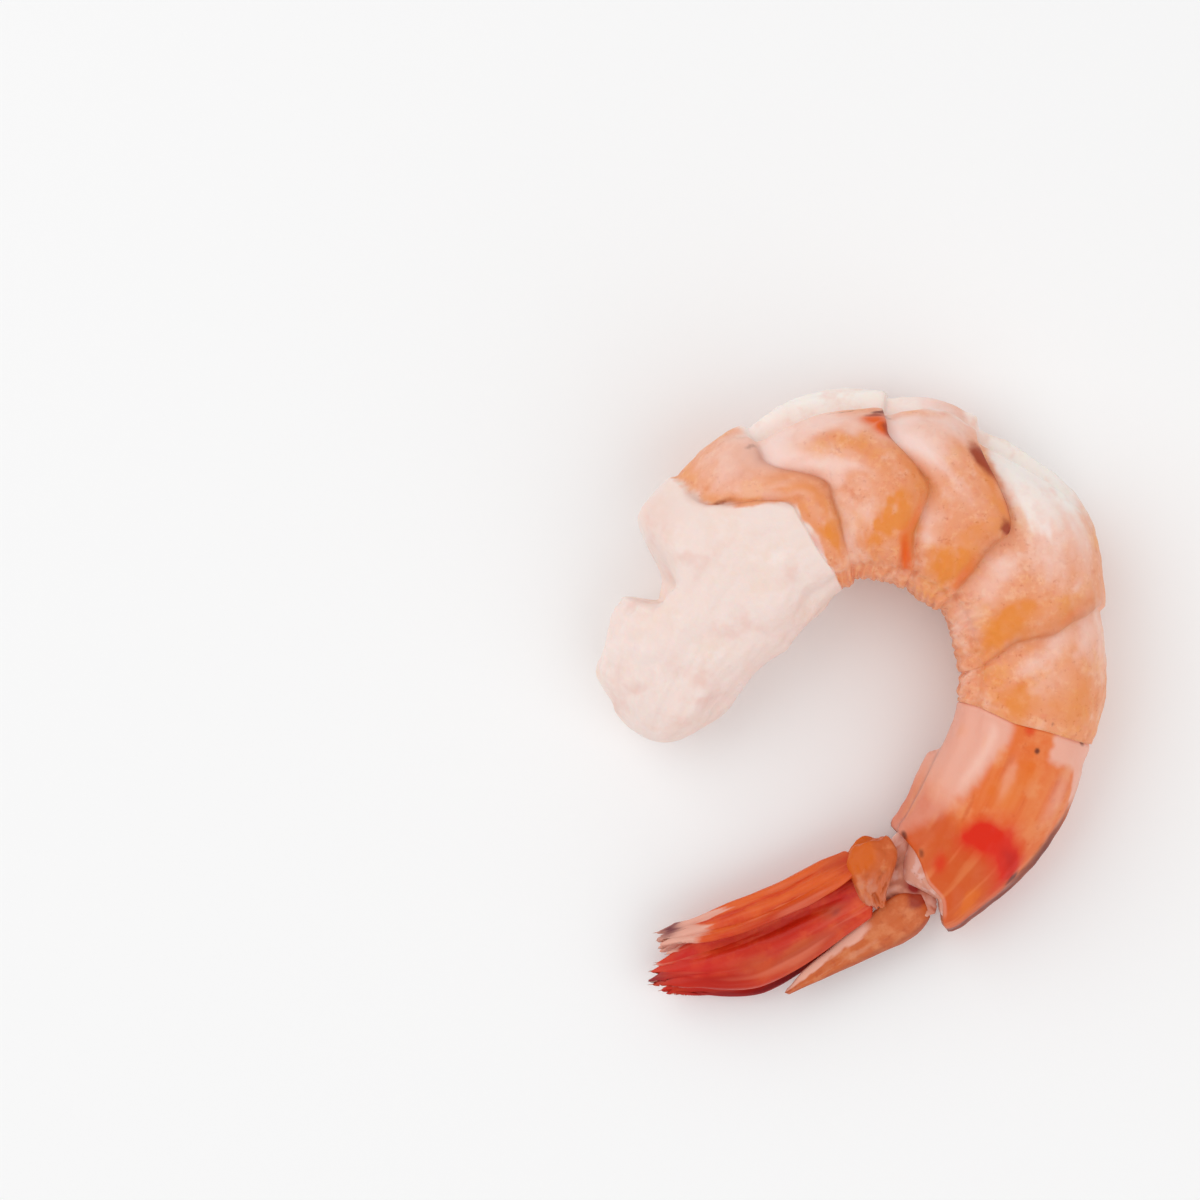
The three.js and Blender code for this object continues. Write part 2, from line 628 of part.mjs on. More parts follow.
// The stub that carries two blades: a lumpy rounded cushion beside the shell's rear.
function protopodGeometry(side) {
  const bands = 9;
  const corners = 16;
  const point = (slope, turn) => {
    const lump = 1 + PROTOPOD.lump * unevenness(
      4 + 2 * Math.cos(slope),
      side * 5 + 2 * Math.sin(slope) * Math.cos(turn),
      2 * Math.sin(slope) * Math.sin(turn),
    );
    const reach = Math.abs(Math.sin(slope)) ** PROTOPOD.fullness * lump;
    const across = PROTOPOD.halfWidth * reach * Math.cos(turn);
    const near = (1 + Math.cos(slope)) / 2;
    const slant = PROTOPOD.slant * ease(PROTOPOD.slantFrom, PROTOPOD.slantTo, across) * near;
    return fanPoint(
      PROTOPOD.along - PROTOPOD.halfLength * Math.cos(slope) + slant,
      PROTOPOD.across + across,
      side * (PROTOPOD.height + PROTOPOD.halfHeight * reach * Math.sin(turn)),
    );
  };
  const rings = [];
  for (let i = 1; i < bands; i += 1) {
    const slope = Math.PI * i / bands;
    rings.push(Array.from({ length: corners }, (_, k) => point(slope, 2 * Math.PI * k / corners)));
  }
  return skin(point(0, 0), rings, point(Math.PI, 0));
}

function mesh(name, geometry, colour, roughness) {
  const material = new THREE.MeshStandardMaterial({ color: colour, roughness, metalness: 0 });
  const piece = new THREE.Mesh(geometry, material);
  piece.name = name;
  return piece;
}

const shrimp = new THREE.Group();
shrimp.name = 'cooked_shrimp';
shrimp.add(mesh('meat', meatGeometry(), COLOURS.meat, 0.45));
shrimp.add(mesh('tail_shell', shellGeometry(), COLOURS.shell, 0.3));
for (const blade of BLADES) {
  shrimp.add(mesh(blade.name, bladeGeometry(blade), COLOURS.blade, 0.3));
}
shrimp.add(mesh('telson', telsonGeometry(), COLOURS.telson, 0.3));
shrimp.add(mesh('left_protopod', protopodGeometry(1), COLOURS.protopod, 0.4));
shrimp.add(mesh('right_protopod', protopodGeometry(-1), COLOURS.protopod, 0.4));

export default shrimp;
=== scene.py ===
# %% [markdown]
# # A cooked shrimp, grown from formulas
#
# This lesson builds one curled, cooked shrimp: peeled, cut open along the back, with its
# tail shell and its folded tail fan left on. Nothing is sculpted by hand. Each surface is a
# function of two parameters, such as "how far along the body" and "how far round it", which
# numpy evaluates on a fine grid. The colours come from masks made by the same formulas.
#
# All formulas are in millimetres. Only the last step, which makes a mesh, turns to metres.

import json
import math

import bpy
import numpy as np
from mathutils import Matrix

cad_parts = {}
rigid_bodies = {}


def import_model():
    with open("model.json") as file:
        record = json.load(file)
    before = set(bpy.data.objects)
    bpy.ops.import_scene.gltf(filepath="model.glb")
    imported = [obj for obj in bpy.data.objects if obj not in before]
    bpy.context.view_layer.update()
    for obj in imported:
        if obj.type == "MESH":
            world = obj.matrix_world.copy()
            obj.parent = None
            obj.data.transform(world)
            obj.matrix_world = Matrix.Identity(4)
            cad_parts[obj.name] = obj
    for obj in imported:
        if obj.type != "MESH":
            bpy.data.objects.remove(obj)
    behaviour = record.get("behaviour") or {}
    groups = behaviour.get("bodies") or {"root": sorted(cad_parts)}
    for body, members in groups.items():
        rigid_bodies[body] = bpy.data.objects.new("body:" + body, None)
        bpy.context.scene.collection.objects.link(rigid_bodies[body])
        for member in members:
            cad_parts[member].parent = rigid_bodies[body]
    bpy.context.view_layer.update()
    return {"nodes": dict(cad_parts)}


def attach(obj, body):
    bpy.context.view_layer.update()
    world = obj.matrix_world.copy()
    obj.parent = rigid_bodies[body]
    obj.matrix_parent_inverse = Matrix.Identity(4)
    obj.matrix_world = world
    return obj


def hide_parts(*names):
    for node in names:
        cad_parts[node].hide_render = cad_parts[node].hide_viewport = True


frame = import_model()
print("CAD nodes:", ", ".join(sorted(frame["nodes"])))

# %% [markdown]
# ## Small helpers
#
# Three curves do most of the work. `ease` climbs smoothly from 0 to 1 between two values,
# `between` also comes down again, and `bump` is a bell around a middle.

# %% Curves
def ease(start, end, value):
    """Smooth climb: with t from 0 to 1 between start and end, t squared times (3 - 2 t)."""
    t = np.clip((value - start) / (end - start), 0.0, 1.0)
    return t * t * (3.0 - 2.0 * t)


def between(start, full, easing, end, value):
    """Climb from 0 to 1, a level stretch, and a fall back to 0: one ease times another."""
    return ease(start, full, value) * ease(end, easing, value)


def bump(value, middle, width):
    """Bell curve: e to the power of minus the squared distance from the middle in widths."""
    return np.exp(-(((value - middle) / width) ** 2))


print("ease, between and bump at 1:", ease(0, 4, 1.0), between(0, 4, 6, 9, 1.0), round(bump(1, 0, 2), 3))

# %% [markdown]
# `noise` gives the unevenness of living things. It looks random but is the same in every
# run, because the "random" numbers at the corners of its grid come from a formula.

# %% Noise
def corner(ix, iy, iz):
    """Fixed random number from -1 to 1 for a corner of the unit grid."""
    wave = np.sin(ix * 127.1 + iy * 311.7 + iz * 74.7) * 43758.5453
    return 2.0 * (wave - np.floor(wave)) - 1.0


def noise(x, y, z):
    """Value noise: the eight corners around a point, blended by smooth weights."""
    x, y, z = np.broadcast_arrays(x, y, z)
    ix, iy, iz = np.floor(x), np.floor(y), np.floor(z)
    fx, fy, fz = ease(0, 1, x - ix), ease(0, 1, y - iy), ease(0, 1, z - iz)
    total = np.zeros(x.shape)
    for dx in (0, 1):
        for dy in (0, 1):
            for dz in (0, 1):
                share = (fx if dx else 1 - fx) * (fy if dy else 1 - fy) * (fz if dz else 1 - fz)
                total += share * corner(ix + dx, iy + dy, iz + dz)
    return total


print("noise at one point:", round(float(noise(0.3, 1.7, 2.2)), 3))

# %% [markdown]
# Most noise here lies on the body. Along the body it's stretched by a length; round the body
# it follows a circle, so that it has no seam where the angle starts again.

# %% Noise on the body
def round_body(angle):
    """Cosine and sine of an angle in degrees: how far to the back, and how far to the side."""
    return np.cos(np.radians(angle)), np.sin(np.radians(angle))


def skin_noise(along, angle, length, waves, shift=(0, 0, 0)):
    """Noise at along / length and on a circle whose radius is the number of waves."""
    back, side = round_body(angle)
    return noise(along / length + shift[0], waves * back + shift[1], waves * side + shift[2])


def skin_noises(rows, along, angle):
    """Sum of noises on the body, each given by its height, length and waves."""
    return sum(height * skin_noise(along, angle, length, waves) for height, length, waves in rows)


print("noise on the body:", round(float(skin_noise(30.0, 90.0, 4.2, 1.7)), 3))

# %% [markdown]
# ## The spine
#
# A shrimp's tail is a row of ring muscles on a curved line, so the model starts with that
# line. Each row of the table is a place along it: distance from the head end, heading in
# degrees (0 is +X, 90 is +Y), and how far the body reaches to the back (outside of the
# curl), to the belly and to a side. The line is walked in short steps, each in its own
# heading, as a ship plots a course.

# %% Stations along the spine
AT, HEADING, BACK, BELLY, SIDE = range(5)
STATIONS = np.array([
    (0.0, 66.0, 5.6, 4.2, 5.2),
    (5.0, 64.0, 7.6, 6.1, 6.2),
    (9.5, 61.0, 8.9, 7.2, 6.9),
    (16.0, 52.0, 11.5, 8.8, 7.8),
    (22.0, 39.5, 11.2, 8.5, 8.4),
    (28.0, 21.0, 10.9, 8.2, 8.6),
    (36.0, -13.0, 10.6, 8.2, 8.6),
    (42.5, -33.0, 10.0, 8.6, 8.3),
    (48.0, -52.0, 9.9, 8.2, 7.9),
    (54.0, -75.0, 7.7, 8.2, 7.3),
    (64.0, -101.5, 6.6, 7.8, 6.3),
    (74.0, -118.0, 6.3, 8.4, 5.6),
    (85.0, -139.0, 4.3, 7.1, 4.3),
])
SPINE_START = (-19.636, -2.683)
SPINE_FROM, SPINE_TO, SPINE_STEP = -2.0, 87.0, 0.25


def follow(column, at):
    """Cubic through the stations; each slope is that of the line between both neighbours."""
    xs, ys = STATIONS[:, AT], STATIONS[:, column]
    last = len(xs) - 1
    before = np.maximum(np.arange(last + 1) - 1, 0)
    after = np.minimum(np.arange(last + 1) + 1, last)
    slopes = (ys[after] - ys[before]) / (xs[after] - xs[before])
    i = np.clip(np.searchsorted(xs, at) - 1, 0, last - 1)
    span = xs[i + 1] - xs[i]
    t = np.clip((at - xs[i]) / span, 0.0, 1.0)
    curve = (
        (2 * t**3 - 3 * t**2 + 1) * ys[i]
        + (t**3 - 2 * t**2 + t) * span * slopes[i]
        + (3 * t**2 - 2 * t**3) * ys[i + 1]
        + (t**3 - t**2) * span * slopes[i + 1]
    )
    return curve + slopes[last] * np.maximum(at - xs[last], 0.0)


walk = np.arange(SPINE_FROM, SPINE_TO + SPINE_STEP / 2, SPINE_STEP)
course = np.radians(follow(HEADING, walk[1:] - SPINE_STEP / 2))
walk_x = np.concatenate([[0.0], np.cumsum(np.cos(course) * SPINE_STEP)])
walk_y = np.concatenate([[0.0], np.cumsum(np.sin(course) * SPINE_STEP)])
walk_x += SPINE_START[0] - np.interp(0.0, walk, walk_x)
walk_y += SPINE_START[1] - np.interp(0.0, walk, walk_y)
print(f"spine: {SPINE_TO - SPINE_FROM:.0f} mm long, ends at x {walk_x[-1]:.1f}, y {walk_y[-1]:.1f}")

# %% [markdown]
# ## From the spine to the skin
#
# A point of the skin is found from three numbers: its place along the spine, its angle round
# the body (0 at the back, 90 on the upper flank, 180 at the belly) and its reach. The spine's
# height over the table is the body's half width. Soft meat sinks a little and is pressed
# flat where it rests, while the stiff tail shell just clears the table.

# %% Place points around the spine
SINK, FLATTEN, SHELL_CLEAR = 0.65, 0.5, 0.15
SOFT_UNTIL, STIFF_FROM = 56.0, 67.0


def flattened(z):
    """Heights below the table become 0; a parabola joins that flat to the free slope."""
    return np.where(z >= FLATTEN, z, np.maximum(z + FLATTEN, 0.0) ** 2 / (4 * FLATTEN))


def body_points(at, angle, reach, soft):
    """Spine point plus reach times (cosine towards the back, sine upwards)."""
    back, side = round_body(angle)
    heading = np.radians(follow(HEADING, at))
    stiff = ease(SOFT_UNTIL, STIFF_FROM, at)
    z = follow(SIDE, at) - SINK * (1 - stiff) + SHELL_CLEAR * stiff + reach * side
    return np.stack([
        np.interp(at, walk, walk_x) - np.sin(heading) * reach * back,
        np.interp(at, walk, walk_y) + np.cos(heading) * reach * back,
        flattened(z) if soft else z,
    ], axis=-1)


print("table height of the spine in mm:", round(float(body_points(28.0, 0.0, 0.0, True)[2]), 2))

# %% [markdown]
# Cut across, the body is a rounded oval, whose radii for back, belly and side come from the
# stations.

# %% Section of the body
SECTION_POWER = 2.3


def section_reach(at, angle):
    """Rounded oval: (back part / reach)^p + (side part / half width)^p = 1."""
    back, side = round_body(angle)
    reach = np.where(back > 0, follow(BACK, at), follow(BELLY, at))
    total = (np.abs(back) / reach) ** SECTION_POWER
    total = total + (np.abs(side) / follow(SIDE, at)) ** SECTION_POWER
    return total ** (-1 / SECTION_POWER)


print("half width at the first ring in mm:", round(float(section_reach(28.0, 90.0)), 1))

# %% [markdown]
# ## The rings
#
# Each ring of a shrimp overlaps the next one like a roof tile, and its rear edge isn't
# straight: it lies nearer the head on the back. So the rings are slanted by a small shift
# along the body that depends on the angle. Each row of the table is one ring edge: its
# place, how far it is pulled towards the head on the back, the cosines of the angles where
# that pull starts and is full, how far it is pushed on the belly, and the step down to the
# next ring.

# %% Ring edges
PLACE, PULL, PULL_FROM, PULL_FULL, PUSH, STEP = range(6)
RING_EDGES = np.array([
    (24.9, 6.0, 0.15, 0.85, 0.5, 0.35),
    (28.6, 3.8, 0.2, 0.75, -0.8, 0.5),
    (37.5, 4.0, 0.2, 0.7, 2.0, 0.65),
    (45.7, 6.3, 0.25, 0.95, 1.0, 0.75),
    (55.8, 1.4, 0.15, 0.85, 3.5, 0.55),
    (64.8, -0.2, 0.15, 0.85, -1.2, 0.0),
])
SKIN_START, SHELL_EDGE = RING_EDGES[0, PLACE], RING_EDGES[-1, PLACE]
SLANT_FROM, SHELL_RIM, RIM_PULL, RIM_PUSH = 10.0, 84.2, -1.5, -1.7
PUSH_FROM, PUSH_FULL = 0.2, 1.0


def turned(angle):
    """The same angle counted from -180 to 180 degrees, 0 at the back."""
    return (angle + 180.0) % 360.0 - 180.0


def slanted(along, angle):
    """Place along the spine of a point of a ring: shifted by the nearest edges' pull and push."""
    back = round_body(angle)[0]
    places = np.concatenate([[SLANT_FROM], RING_EDGES[:, PLACE], [SHELL_RIM]])
    pull = np.interp(along, places, np.concatenate([[0.0], RING_EDGES[:, PULL], [RIM_PULL]]))
    push = np.interp(along, places, np.concatenate([[0.0], RING_EDGES[:, PUSH], [RIM_PUSH]]))
    pull_from = np.interp(along, RING_EDGES[:, PLACE], RING_EDGES[:, PULL_FROM])
    pull_full = np.interp(along, RING_EDGES[:, PLACE], RING_EDGES[:, PULL_FULL])
    return along - pull * ease(pull_from, pull_full, back) + push * ease(PUSH_FROM, PUSH_FULL, -back)


print("rings:", len(RING_EDGES) - 1, "lengths:", np.round(np.diff(RING_EDGES[:, PLACE]), 1))

# %% [markdown]
# Every ring swells in its middle, and behind each edge the height steps down to the ring
# below. Just before the edge the surface leans a little towards the tail, so that the edge
# overhangs.

# %% Relief of the rings
STEP_LENGTH, RING_SWELL = 0.3, 0.35
HOOK = dict(reach=0.14, before=-0.1, width=0.22, start=23.0)


def ring_relief(along):
    """A swell in the middle of each ring, and a step down to the ring behind its edge."""
    height = np.zeros(np.shape(along))
    for edge, following in zip(RING_EDGES[:-1], RING_EDGES[1:]):
        into = along - edge[PLACE]
        length = following[PLACE] - edge[PLACE] - STEP_LENGTH
        t = np.clip((into - STEP_LENGTH) / length, 0.0, 1.0)
        ring = RING_SWELL * np.sin(np.pi * t) - edge[STEP] * (1 - t) ** 2
        ring = np.where(into < STEP_LENGTH, -edge[STEP] * into / STEP_LENGTH, ring)
        height = np.where((into > 0) & (along <= following[PLACE]), ring, height)
    return height


def past_edge(along):
    """Distance past the nearest ring edge; negative in front of it."""
    gaps = along[..., None] - RING_EDGES[:, PLACE]
    nearest = np.abs(gaps).argmin(-1)
    return np.take_along_axis(gaps, nearest[..., None], -1)[..., 0]


def edge_hook(along):
    """Small shift towards the tail just before each ring edge."""
    lean = HOOK["reach"] * bump(past_edge(along), HOOK["before"], HOOK["width"])
    return lean * (along > HOOK["start"])


def edge_wander(along, angle):
    """Slow drift of the rings along the body, so that no edge is a perfect curve."""
    drift = skin_noise(along, angle, 9.0, 2.6, shift=(0, 0, 4))
    return 0.35 * between(14.0, 24.0, 58.0, 64.0, along) * drift


print("highest step down behind a ring in mm:", RING_EDGES[:, STEP].max())

# %% [markdown]
# ## The cook's work
#
# The head was pulled off, which leaves a torn end with a bite between two lobes. The back
# was cut open to take out the vein: the near half ends in a lip, then comes a gutter, and
# beyond it the white face of the far half. Each of these is one more term of the reach.

# %% Plain reach of the meat
TIP = dict(at=-1.9, round=4.4)
BITE = dict(start=9.2, full=10.9, easing=12.2, end=15.8, depth=4.6, half_angle=62.0)
FLAKE = dict(at=2.4, length=0.9, angle=6.0, spread=18.0, height=0.7)
CUT = dict(start=23.0, full=27.0, easing=41.0, end=51.0)
BRIDGE = dict(at=37.4, length=2.8, share=0.8)
GUTTER = dict(angle=15.0, width=6.0, depth=2.1)
LIP = dict(angle=27.0, width=12.0, depth=0.8)
# The groove along the belly, and a crease on either side; the shell has a share of each.
BELLY_FOLDS = [
    dict(angle=180.0, depth=0.7, width=12.0, start=2.0, full=12.0, shell_share=0.4),
    dict(angle=142.0, depth=0.45, width=6.0, start=12.0, full=26.0, shell_share=0.5),
]
RELIEF_ON_BELLY = 0.45
LUMPS = dict(neck=0.55, rings=0.22, length=4.2, waves=1.7, shift=(0, 3, 7))


def cut_share(at):
    """How far the back is cut open at a place, from 0 to 1."""
    open_part = between(CUT["start"], CUT["full"], CUT["easing"], CUT["end"], at)
    return open_part * (1 - BRIDGE["share"] * bump(at, BRIDGE["at"], BRIDGE["length"]))


def tip_rounding(at):
    """Quarter circle that closes the head end."""
    past = np.maximum(0.0, (TIP["at"] + TIP["round"] - at) / TIP["round"])
    return np.sqrt(np.maximum(0.0, 1.0 - past**2))


def lump_height(along):
    """Height of the lumps: large on the head end, small on the rings, none at the shell."""
    height = LUMPS["neck"] + (LUMPS["rings"] - LUMPS["neck"]) * ease(18.0, 27.0, along)
    return height * (1 - ease(60.0, 64.0, along))


def meat_reach(along, angle):
    """Section, plus ring relief and lumps, minus bite, cut and belly folds, times the tip."""
    at, turn = slanted(along, angle), turned(angle)
    from_back = np.abs(turn)
    bite = between(BITE["start"], BITE["full"], BITE["easing"], BITE["end"], at)
    bite = bite * ease(BITE["half_angle"], BITE["half_angle"] / 3, from_back)
    flake = bump(at, FLAKE["at"], FLAKE["length"]) * bump(turn, FLAKE["angle"], FLAKE["spread"])
    reach = section_reach(at, angle) - BITE["depth"] * bite + FLAKE["height"] * flake
    for fold in (GUTTER, LIP):
        reach = reach - cut_share(at) * fold["depth"] * bump(turn, fold["angle"], fold["width"])
    for fold in BELLY_FOLDS:
        depth = fold["depth"] * ease(fold["start"], fold["full"], at)
        reach = reach - depth * bump(from_back, fold["angle"], fold["width"])
    on_belly = 1 - ease(-0.9, 0.0, round_body(angle)[0])
    reach = reach + ring_relief(along) * (1 - (1 - RELIEF_ON_BELLY) * on_belly)
    lumps = skin_noise(at, angle, LUMPS["length"], LUMPS["waves"], LUMPS["shift"])
    return (reach + lump_height(along) * lumps) * tip_rounding(at)


print("reach of the flank at the second ring:", round(float(meat_reach(33.0, 90.0)), 2), "mm")

# %% [markdown]
# ## Fine relief
#
# Up close, a ring's rear edge is a raised lip that casts a thin shadow. The flesh inside the
# curl is squeezed into wrinkles, the muscle runs in bundles along the body, and the torn
# head end is ragged and crumbly. The face of the cut shows its fibres. Nearly all of it is
# less than half a millimetre high, but it catches the light.

# %% Fine relief of the meat
# Rows of noise: height, length along the body, waves round it.
CROSS_FOLDS = [(0.07, 0.8, 6), (0.05, 0.45, 13)]
BUNDLES = [(0.12, 3.6, 8), (0.05, 1.2, 16)]
# Fibres of the cut: height, length along the body, degrees round it, and a place in the noise.
STRANDS = [(0.14, 2.6, 2.2, 5.0), (0.24, 2.4, 7.0, 11.0)]
# The lip before a ring's edge and the dip behind it: height, distance past the edge, width.
EDGE_LIPS = [(0.12, -0.4, 0.45), (-0.06, 0.85, 0.45)]
WRINKLES = dict(height=0.1, spacing=1.7, wobble=1.3, length=3.0, waves=5, belly=(0.2, 0.9))
TORN_END = dict(height=0.3, length=1.5, waves=4, shift=(0, 9, 0), back=(0.2, 0.8), least=0.4)
CRUMBS = dict(height=0.22, length=0.8, waves=9, fade=(9.0, 4.0), angles=(95.0, 60.0))
LOBE_CORNER = dict(depth=0.6, at=9.2, length=0.75, spread=48.0)
PIT = dict(depth=0.4, at=12.6, length=0.5, angle=42.0, spread=18.0)
OPEN_CUT = dict(angle=3.0, width=14.0)
NECK_FADE, RINGS_SHOWN, DETAIL_FADE = (21.0, 26.0), (24.0, 27.0, 64.0, 64.7), (64.3, 64.8)


def ring_detail(along, at, angle):
    """Raised lips at the ring edges, wrinkles inside the curl, and folds across the rings."""
    past = past_edge(along)
    lips = sum(height * bump(past, place, width) for height, place, width in EDGE_LIPS)
    wobble = WRINKLES["wobble"] * skin_noise(at, angle, WRINKLES["length"], WRINKLES["waves"])
    waves = np.sin(2 * np.pi * (at + wobble) / WRINKLES["spacing"])
    on_belly = ease(*WRINKLES["belly"], -round_body(angle)[0])
    return lips + WRINKLES["height"] * on_belly * waves + skin_noises(CROSS_FOLDS, at, angle)


def head_detail(at, angle):
    """Torn and crumbly surface, a rounded corner of the upper lobe, and one small pit."""
    turn, least = turned(angle), TORN_END["least"]
    torn = skin_noise(at, angle, TORN_END["length"], TORN_END["waves"], TORN_END["shift"])
    torn = torn * TORN_END["height"]
    torn = torn * (least + (1 - least) * ease(*TORN_END["back"], round_body(angle)[0]))
    crumbs = CRUMBS["height"] * skin_noise(at, angle, CRUMBS["length"], CRUMBS["waves"])
    crumbs = crumbs * ease(*CRUMBS["fade"], at) * ease(*CRUMBS["angles"], np.abs(turn))
    corner_cut = LOBE_CORNER["depth"] * bump(at, LOBE_CORNER["at"], LOBE_CORNER["length"])
    pit = PIT["depth"] * bump(at, PIT["at"], PIT["length"]) * bump(turn, PIT["angle"], PIT["spread"])
    return torn + crumbs - corner_cut * bump(turn, 0.0, LOBE_CORNER["spread"]) - pit


def cut_strands(at, turn):
    """Fibres on the face of the cut: noise stretched along the body."""
    open_cut = cut_share(at) * bump(turn, OPEN_CUT["angle"], OPEN_CUT["width"])
    return open_cut * sum(
        height * noise(at / length, turn / degrees, place)
        for height, length, degrees, place in STRANDS)


def meat_detail(along, angle):
    """Sum of the relief of rings and head end, the muscle bundles, and fibres on the cut."""
    at, turn = slanted(along, angle), turned(angle)
    neck = 1 - ease(*NECK_FADE, along)
    detail = between(*RINGS_SHOWN, along) * ring_detail(along, at, angle)
    detail = detail + neck * head_detail(at, angle)
    detail = detail + skin_noises(BUNDLES, at, angle) * (0.4 + neck) + cut_strands(at, turn)
    return detail * tip_rounding(at) * (1 - ease(*DETAIL_FADE, along))


sample = meat_detail(*np.meshgrid(np.linspace(28, 64, 90), np.linspace(0, 180, 90)))
print(f"fine relief: {sample.min():.2f} to {sample.max():.2f} mm")

# %% [markdown]
# ## Closing a surface
#
# A body that is a stack of rings becomes a solid when both ends run into a point. The
# helpers below number the corners, add the two poles, turn the faces outwards if the
# enclosed volume comes out negative, and write everything into a mesh in one go.

# %% Mesh helpers
def signed_volume(points, faces):
    """A sixth of the sum of a . (b x c) over all triangles; quads are split in two."""
    a, b, c, d = (points[faces[:, k]] for k in range(4))
    first = np.einsum("ij,ij->i", a, np.cross(b, c)).sum()
    second = np.einsum("ij,ij->i", a, np.cross(c, d)).sum()
    return (first + second) / 6.0


def make_piece(name, points, faces, masks=None):
    """Mesh in metres from points in mm and quads; a triangle repeats one of its corners."""
    if signed_volume(points, faces) < 0:
        faces = faces[:, ::-1]
    is_triangle = (faces[:, 2] == faces[:, 3]) | (faces[:, 0] == faces[:, 1])
    corners = [list(dict.fromkeys(face)) for face in faces[is_triangle].tolist()]
    mesh = bpy.data.meshes.new(name)
    mesh.from_pydata((points * 0.001).tolist(), [], faces[~is_triangle].tolist() + corners)
    mesh.shade_smooth()
    for key, values in (masks or {}).items():
        layer = mesh.attributes.new(key, "FLOAT", "POINT")
        layer.data.foreach_set("value", np.ascontiguousarray(values, dtype=np.float32))
    piece = bpy.data.objects.new(name, mesh)
    bpy.context.collection.objects.link(piece)
    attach(piece, "root")
    triangles = 2 * int((~is_triangle).sum()) + int(is_triangle.sum())
    print(f"{name}: {triangles} triangles")
    return piece


def closed_tube(rings, first, last):
    """Points and quads of a stack of closed rings with a pole at either end."""
    count, around = rings.shape[:2]
    points = np.concatenate([[first], rings.reshape(-1, 3), [last]])
    index = 1 + np.arange(count * around).reshape(count, around)
    next_index = np.roll(index, -1, axis=1)
    walls = np.stack([index[:-1], index[1:], next_index[1:], next_index[:-1]], axis=-1)
    start = np.full(around, 0)
    end = np.full(around, len(points) - 1)
    front = np.stack([start, index[0], next_index[0], next_index[0]], axis=-1)
    rear = np.stack([end, next_index[-1], index[-1], index[-1]], axis=-1)
    return points, np.concatenate([walls.reshape(-1, 4), front, rear])


def with_poles(values):
    """The values of a stack of rings in one row, with an end ring's mean for each pole."""
    return np.concatenate([[values[0].mean()], values.ravel(), [values[-1].mean()]])


def tube_piece(name, rings, first, last, masks):
    """Piece from a stack of closed rings, its two poles, and one mask value for each corner."""
    whole = {key: with_poles(values) for key, values in masks.items()}
    return make_piece(name, *closed_tube(rings, first, last), whole)


def spread(stretches):
    """Numbers in one row from (start, end, count) stretches, without each stretch's end."""
    return np.concatenate([np.linspace(a, b, n, endpoint=False) for a, b, n in stretches])


print("six numbers from two stretches:", spread([(0, 2, 2), (2, 10, 4)]))

# %% [markdown]
# ## The stub in the shell
#
# The last ring goes on into the tail shell as a thinner stub that is hidden from sight. It
# follows the shell's own outside, less the wall and a small gap, so the two never touch.

# %% Shell outline and stub
SHELL_SETBACK, SHELL_WALL, GAP = 0.25, 0.6, 0.3
KEEL = dict(start=66.0, full=72.0, height=0.3, width=9.0)
FAR_EDGE = dict(start=71.0, full=73.0, angle=-158.0, width=8.0, height=1.5)


def tail_reach(along, angle):
    """Outline of the shell and the stub: the section with a keel and the belly's folds."""
    at, turn = slanted(along, angle), turned(angle)
    keel = KEEL["height"] * ease(KEEL["start"], KEEL["full"], at) * bump(turn, 0.0, KEEL["width"])
    reach = section_reach(at, angle) - SHELL_SETBACK + keel
    for fold in BELLY_FOLDS:
        depth = fold["shell_share"] * fold["depth"]
        reach = reach - depth * bump(np.abs(turn), fold["angle"], fold["width"])
    return reach


def shell_reach(along, angle):
    """Outside of the shell: the shared outline plus the lower edge of the far side."""
    edge = FAR_EDGE["height"] * ease(FAR_EDGE["start"], FAR_EDGE["full"], along)
    edge = edge * bump(turned(angle), FAR_EDGE["angle"], FAR_EDGE["width"])
    return tail_reach(along, angle) + edge


def inner_ring(along, angle, inset, scale=1.0):
    """One closed ring that runs inside the shared outline by an inset and a scale."""
    place = np.full(np.shape(angle), along)
    reach = (tail_reach(place, angle) - inset) * scale
    return body_points(slanted(place, angle), angle, reach, soft=False)


print("flank of the shell at its front in mm:", round(float(shell_reach(65.0, 90.0)), 1))

# %% [markdown]
# ## The meat
#
# The grid is closer where the detail is: along the rings, and round the upper side with the
# cut. Sixteen rings close the tip on a quarter circle, and nine more make the hidden stub.

# %% Build the meat
MEAT_TURNS = [(-14, 46, 62), (46, 136, 60), (136, 224, 48), (224, 346, 46)]
TIP_ROWS, HEAD_ROWS, RING_ROWS, STUB_ROWS = 16, 116, 262, 7
HEAD_FROM, HEAD_TO, STUB_END = 2.6, 24.0, 79.5

meat_angles = spread(MEAT_TURNS)
tip_turns = np.radians(np.linspace(6.0, 84.0, TIP_ROWS))
meat_alongs = np.concatenate([
    TIP["at"] + TIP["round"] * (1 - np.cos(tip_turns)),
    np.linspace(HEAD_FROM, HEAD_TO, HEAD_ROWS, endpoint=False),
    np.linspace(HEAD_TO, SHELL_EDGE, RING_ROWS),
])
along, angle = np.meshgrid(meat_alongs, meat_angles, indexing="ij")
at = slanted(along, angle) + edge_hook(along) + edge_wander(along, angle)
reach = meat_reach(along, angle) + meat_detail(along, angle)
meat_rings = body_points(at, angle, reach, soft=True)

